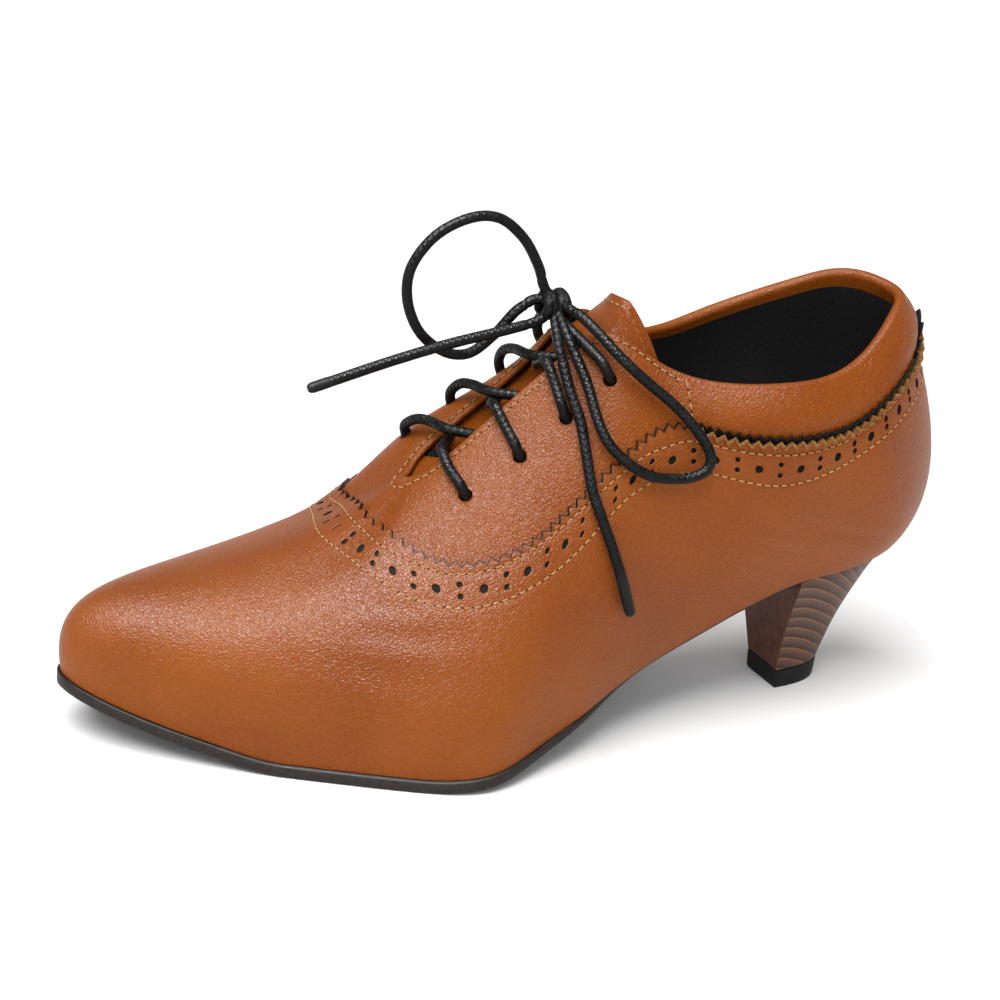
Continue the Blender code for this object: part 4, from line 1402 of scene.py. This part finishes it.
def lace_tube(name, paths):
    """Laces along paths, with rounded ends and a UV map for their braid, as one mesh."""
    sides = 14
    ends = np.array([0.55, 0.85, 1.0])
    turn = np.arange(sides) / sides
    parts = Parts()
    flat = []
    for path in paths:
        radii = np.full(len(path), 0.5 * LACE)
        radii[:3] *= ends
        radii[-3:] *= ends[::-1]
        rings = cord_rings(path, radii, sides)
        parts.add(rings, capped(rings))
        run = run_along(path)
        flat.append(np.stack([np.tile(turn, len(path)), np.repeat(run / LACE, sides)], axis=1))
    piece = parts.piece(name, [CORD], outward=False)
    flat = np.concatenate(flat)
    layer = piece.data.uv_layers.new(name="braid")
    corners = np.zeros(len(piece.data.loops), np.int32)
    piece.data.loops.foreach_get("vertex_index", corners)
    flat = flat[corners]
    for face in piece.data.polygons:
        spots = list(face.loop_indices)
        around = flat[spots, 0]
        if len(spots) == 4 and around.max() - around.min() > 0.5:
            flat[spots, 0] += around < 0.5
    layer.data.foreach_set("uv", flat.astype(np.float32).ravel())
    return piece


# How many sections nearer the toe a lateral lace goes over the facing's edge than its eyelet lies
LEADS = (0.22, 0.08, -0.06, 0.14)


def threaded_side(first_medial):
    """Route of half the lace: from the bar under the lowest eyelets, out of one eyelet after another."""
    rise = np.array([0.35, 0.0, 0.94])
    deep = WALL + 0.5 * LACE + 0.4
    proud = 0.5 * LACE + 0.3
    medial = first_medial
    low, way = facing_point(EYELETS[0].section, 0.985, medial)
    route = [low - way * (deep + 0.4)]
    for i, hole in enumerate(EYELETS):
        lead, beyond, loose, over = (-0.35, -0.15, 1.8, 2.2) if medial else (LEADS[i], -0.5, 0.0, -0.8)
        eye, way = facing_point(hole.section, hole.up, medial)
        route.append(eye - way * deep)
        route.append(eye - way * 1.3)
        out, way = facing_point(hole.section + 0.15 * lead, hole.up + 0.03, medial)
        route.append(out + way * proud)
        ridge, lift = facing_point(hole.section + 0.6 * lead, 0.93, medial)
        route.append(ridge + lift * (proud + loose))
        if i == len(EYELETS) - 1:
            break
        crest = facing_point(hole.section + lead, 1.0, medial)[0]
        across = facing_point(hole.section + beyond, 1.0, not medial)[0]
        route.append(crest + rise * (2.0 + loose))
        route.append(0.5 * (crest + across) + rise * over)
        after = 0.6 * (hole.section + beyond) + 0.4 * EYELETS[i + 1].section
        tuck, lift = facing_point(after, 0.975, not medial)
        route.append(tuck - lift * deep)
        medial = not medial
    return route


def knot_route(way):
    """The knot's wraps round the bow."""
    t = np.linspace(0, 1, 40)
    turn = 2 * np.pi * KNOT.turns * t
    along = KNOT.first + (KNOT.last - KNOT.first) * t
    side = KNOT.side + way * KNOT.radius * np.sin(turn)
    return np.stack([along, side, KNOT.up - KNOT.radius * np.cos(turn)], axis=1)


def knot_strands():
    """Short strands that lead the bow's loops and ends into the knot."""
    core = np.array([0.5 * (KNOT.first + KNOT.last), KNOT.side, KNOT.up])
    t = np.linspace(0, 1, 24)[:, None]
    strands = []
    for route in (LOOP_UP, LOOP_UP[::-1], LOOP_SIDE, LOOP_SIDE[::-1], END_FRONT, END_SIDE):
        end = np.array(route[0])
        way = unit(end - np.array(route[1]))
        bend = end + way * 0.45 * np.linalg.norm(core - end)
        curve = (1 - t) ** 2 * end + 2 * t * (1 - t) * bend + t**2 * core
        strands.append(np.concatenate([[end - way * 2.4, end - way * 1.2], curve]))
    return strands


def free_cord(name, node, stops):
    """One loop or end of the bow, where its CAD tube is."""
    path = even_route(stops, 0.8)
    piece = lace_tube(name, [path])
    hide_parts(node)


def make_aglet(name, stops, long):
    """Smooth tip over the last stretch of a lace end."""
    step = 0.5
    path = even_route(stops, step)[-round(long / step) :]
    radii = np.full(len(path), 0.5 * LACE + 0.08)
    radii[:2] = 0.5 * LACE
    radii[-3:] *= (0.96, 0.85, 0.6)
    rings = cord_rings(path, radii, 16)
    piece = new_piece(name, rings, capped(rings), [TIP], outward=False)
    return piece


def make_lace():
    whole = [KNOT_SIDES[1], *threaded_side(False)[::-1], *threaded_side(True), KNOT_SIDES[0]]
    threaded = lace_tube("lace_threaded", [even_route(whole, 0.7)])
    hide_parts(*[f"lace_crossing_{i + 1}" for i in range(len(EYELETS))])
    wraps = [even_route(knot_route(way), 0.5) for way in (1.0, -1.0)]
    knot = lace_tube("lace_bow_knot", [*knot_strands(), *wraps])
    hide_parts("lace_knot")
    free_cord("bow_loop_up", "lace_loop_up", LOOP_UP)
    free_cord("bow_loop_side", "lace_loop_side", LOOP_SIDE)
    front = make_aglet("aglet_front", END_FRONT, 7.0)
    free_cord("bow_end_front", "lace_end_front", END_FRONT)
    side = make_aglet("aglet_side", END_SIDE, 14.0)
    free_cord("bow_end_side", "lace_end_side", END_SIDE)


# Studio


def link_turned(name, data, right, up, back, at=(0.0, 0.0, 0.0)):
    """Puts a camera or a light into the scene, turned to three ways, at a place in metres."""
    made = bpy.data.objects.new(name, data)
    bpy.context.scene.collection.objects.link(made)
    turned = np.eye(4)
    turned[:3] = np.stack([right, up, back, at], axis=1)
    made.matrix_world = Matrix(turned.tolist())
    return made


def make_camera():
    """The photograph's viewpoint, turned and zoomed to frame the one shoe."""
    yaw, pitch, roll = (math.radians(angle) for angle in (CAMERA_YAW, CAMERA_PITCH, CAMERA_ROLL))
    ahead = np.array([-math.sin(yaw) * math.cos(pitch), -math.cos(yaw) * math.cos(pitch), -math.sin(pitch)])
    right = unit(np.cross(ahead, [0.0, 0.0, 1.0]))
    up = np.cross(right, ahead)
    right, up = (
        math.cos(roll) * right + math.sin(roll) * up,
        math.cos(roll) * up - math.sin(roll) * right,
    )
    aside, below = ((pixel - 0.5 * PICTURE) / FOCAL for pixel in AIM_PIXEL)
    aim = unit(ahead + aside * right - below * up)
    right = unit(right - aim * (right @ aim))
    lens = bpy.data.cameras.new("camera")
    lens.sensor_width = 36.0
    lens.lens = CLOSER * FOCAL * lens.sensor_width / PICTURE
    lens.clip_start = 0.01
    lens.clip_end = 50.0
    at = row_frame(CAMERA_AT)
    bpy.context.scene.camera = link_turned("camera", lens, right, np.cross(right, aim), -aim, at)


def make_light(name, way, strength, spread):
    """Far soft light that comes from a way, over a spread in degrees."""
    lamp = bpy.data.lights.new(name, "SUN")
    lamp.energy = strength
    lamp.angle = math.radians(spread)
    back = unit(np.array(way, float))
    side = unit(np.cross([0.31, 0.95, 0.0], back))
    return link_turned(name, lamp, side, np.cross(back, side), back)


def make_studio():
    scene = bpy.context.scene
    scene.view_settings.view_transform = "Standard"
    world = bpy.data.worlds.new("studio")
    world.use_nodes = True
    sky = world.node_tree.nodes["Background"].inputs
    sky["Color"].default_value = (1.0, 1.0, 1.0, 1.0)
    sky["Strength"].default_value = 0.40
    scene.world = world
    make_light("key", (0.34, 0.20, 0.92), 3.9, 50.0)
    gloss = make_light("gloss", (0.34, 0.22, 0.90), 15.0, 34.0)
    gloss.visible_diffuse = False
    make_light("front", (0.15, 0.90, 0.40), 0.9, 70.0)
    side = 6.0
    floor = bpy.data.meshes.new("floor")
    corners = [(-side, -side, 0.0), (side, -side, 0.0), (side, side, 0.0), (-side, side, 0.0)]
    floor.from_pydata(corners, [], [(0, 1, 2, 3)])
    tones = [(level, level, level) for level in (0.86, 0.84, 0.88)]
    floor.materials.append(mottled("pale_floor", tones, 0.7, 6.0, 2.0, 0.0)[0].material)
    stage = bpy.data.objects.new("floor", floor)
    scene.collection.objects.link(stage)


make_camera()
make_lace()
make_panel()
make_facings()
make_collar_trim()
make_stitches(make_tongue())
make_outsole()
make_insole()
make_heel()
make_studio()
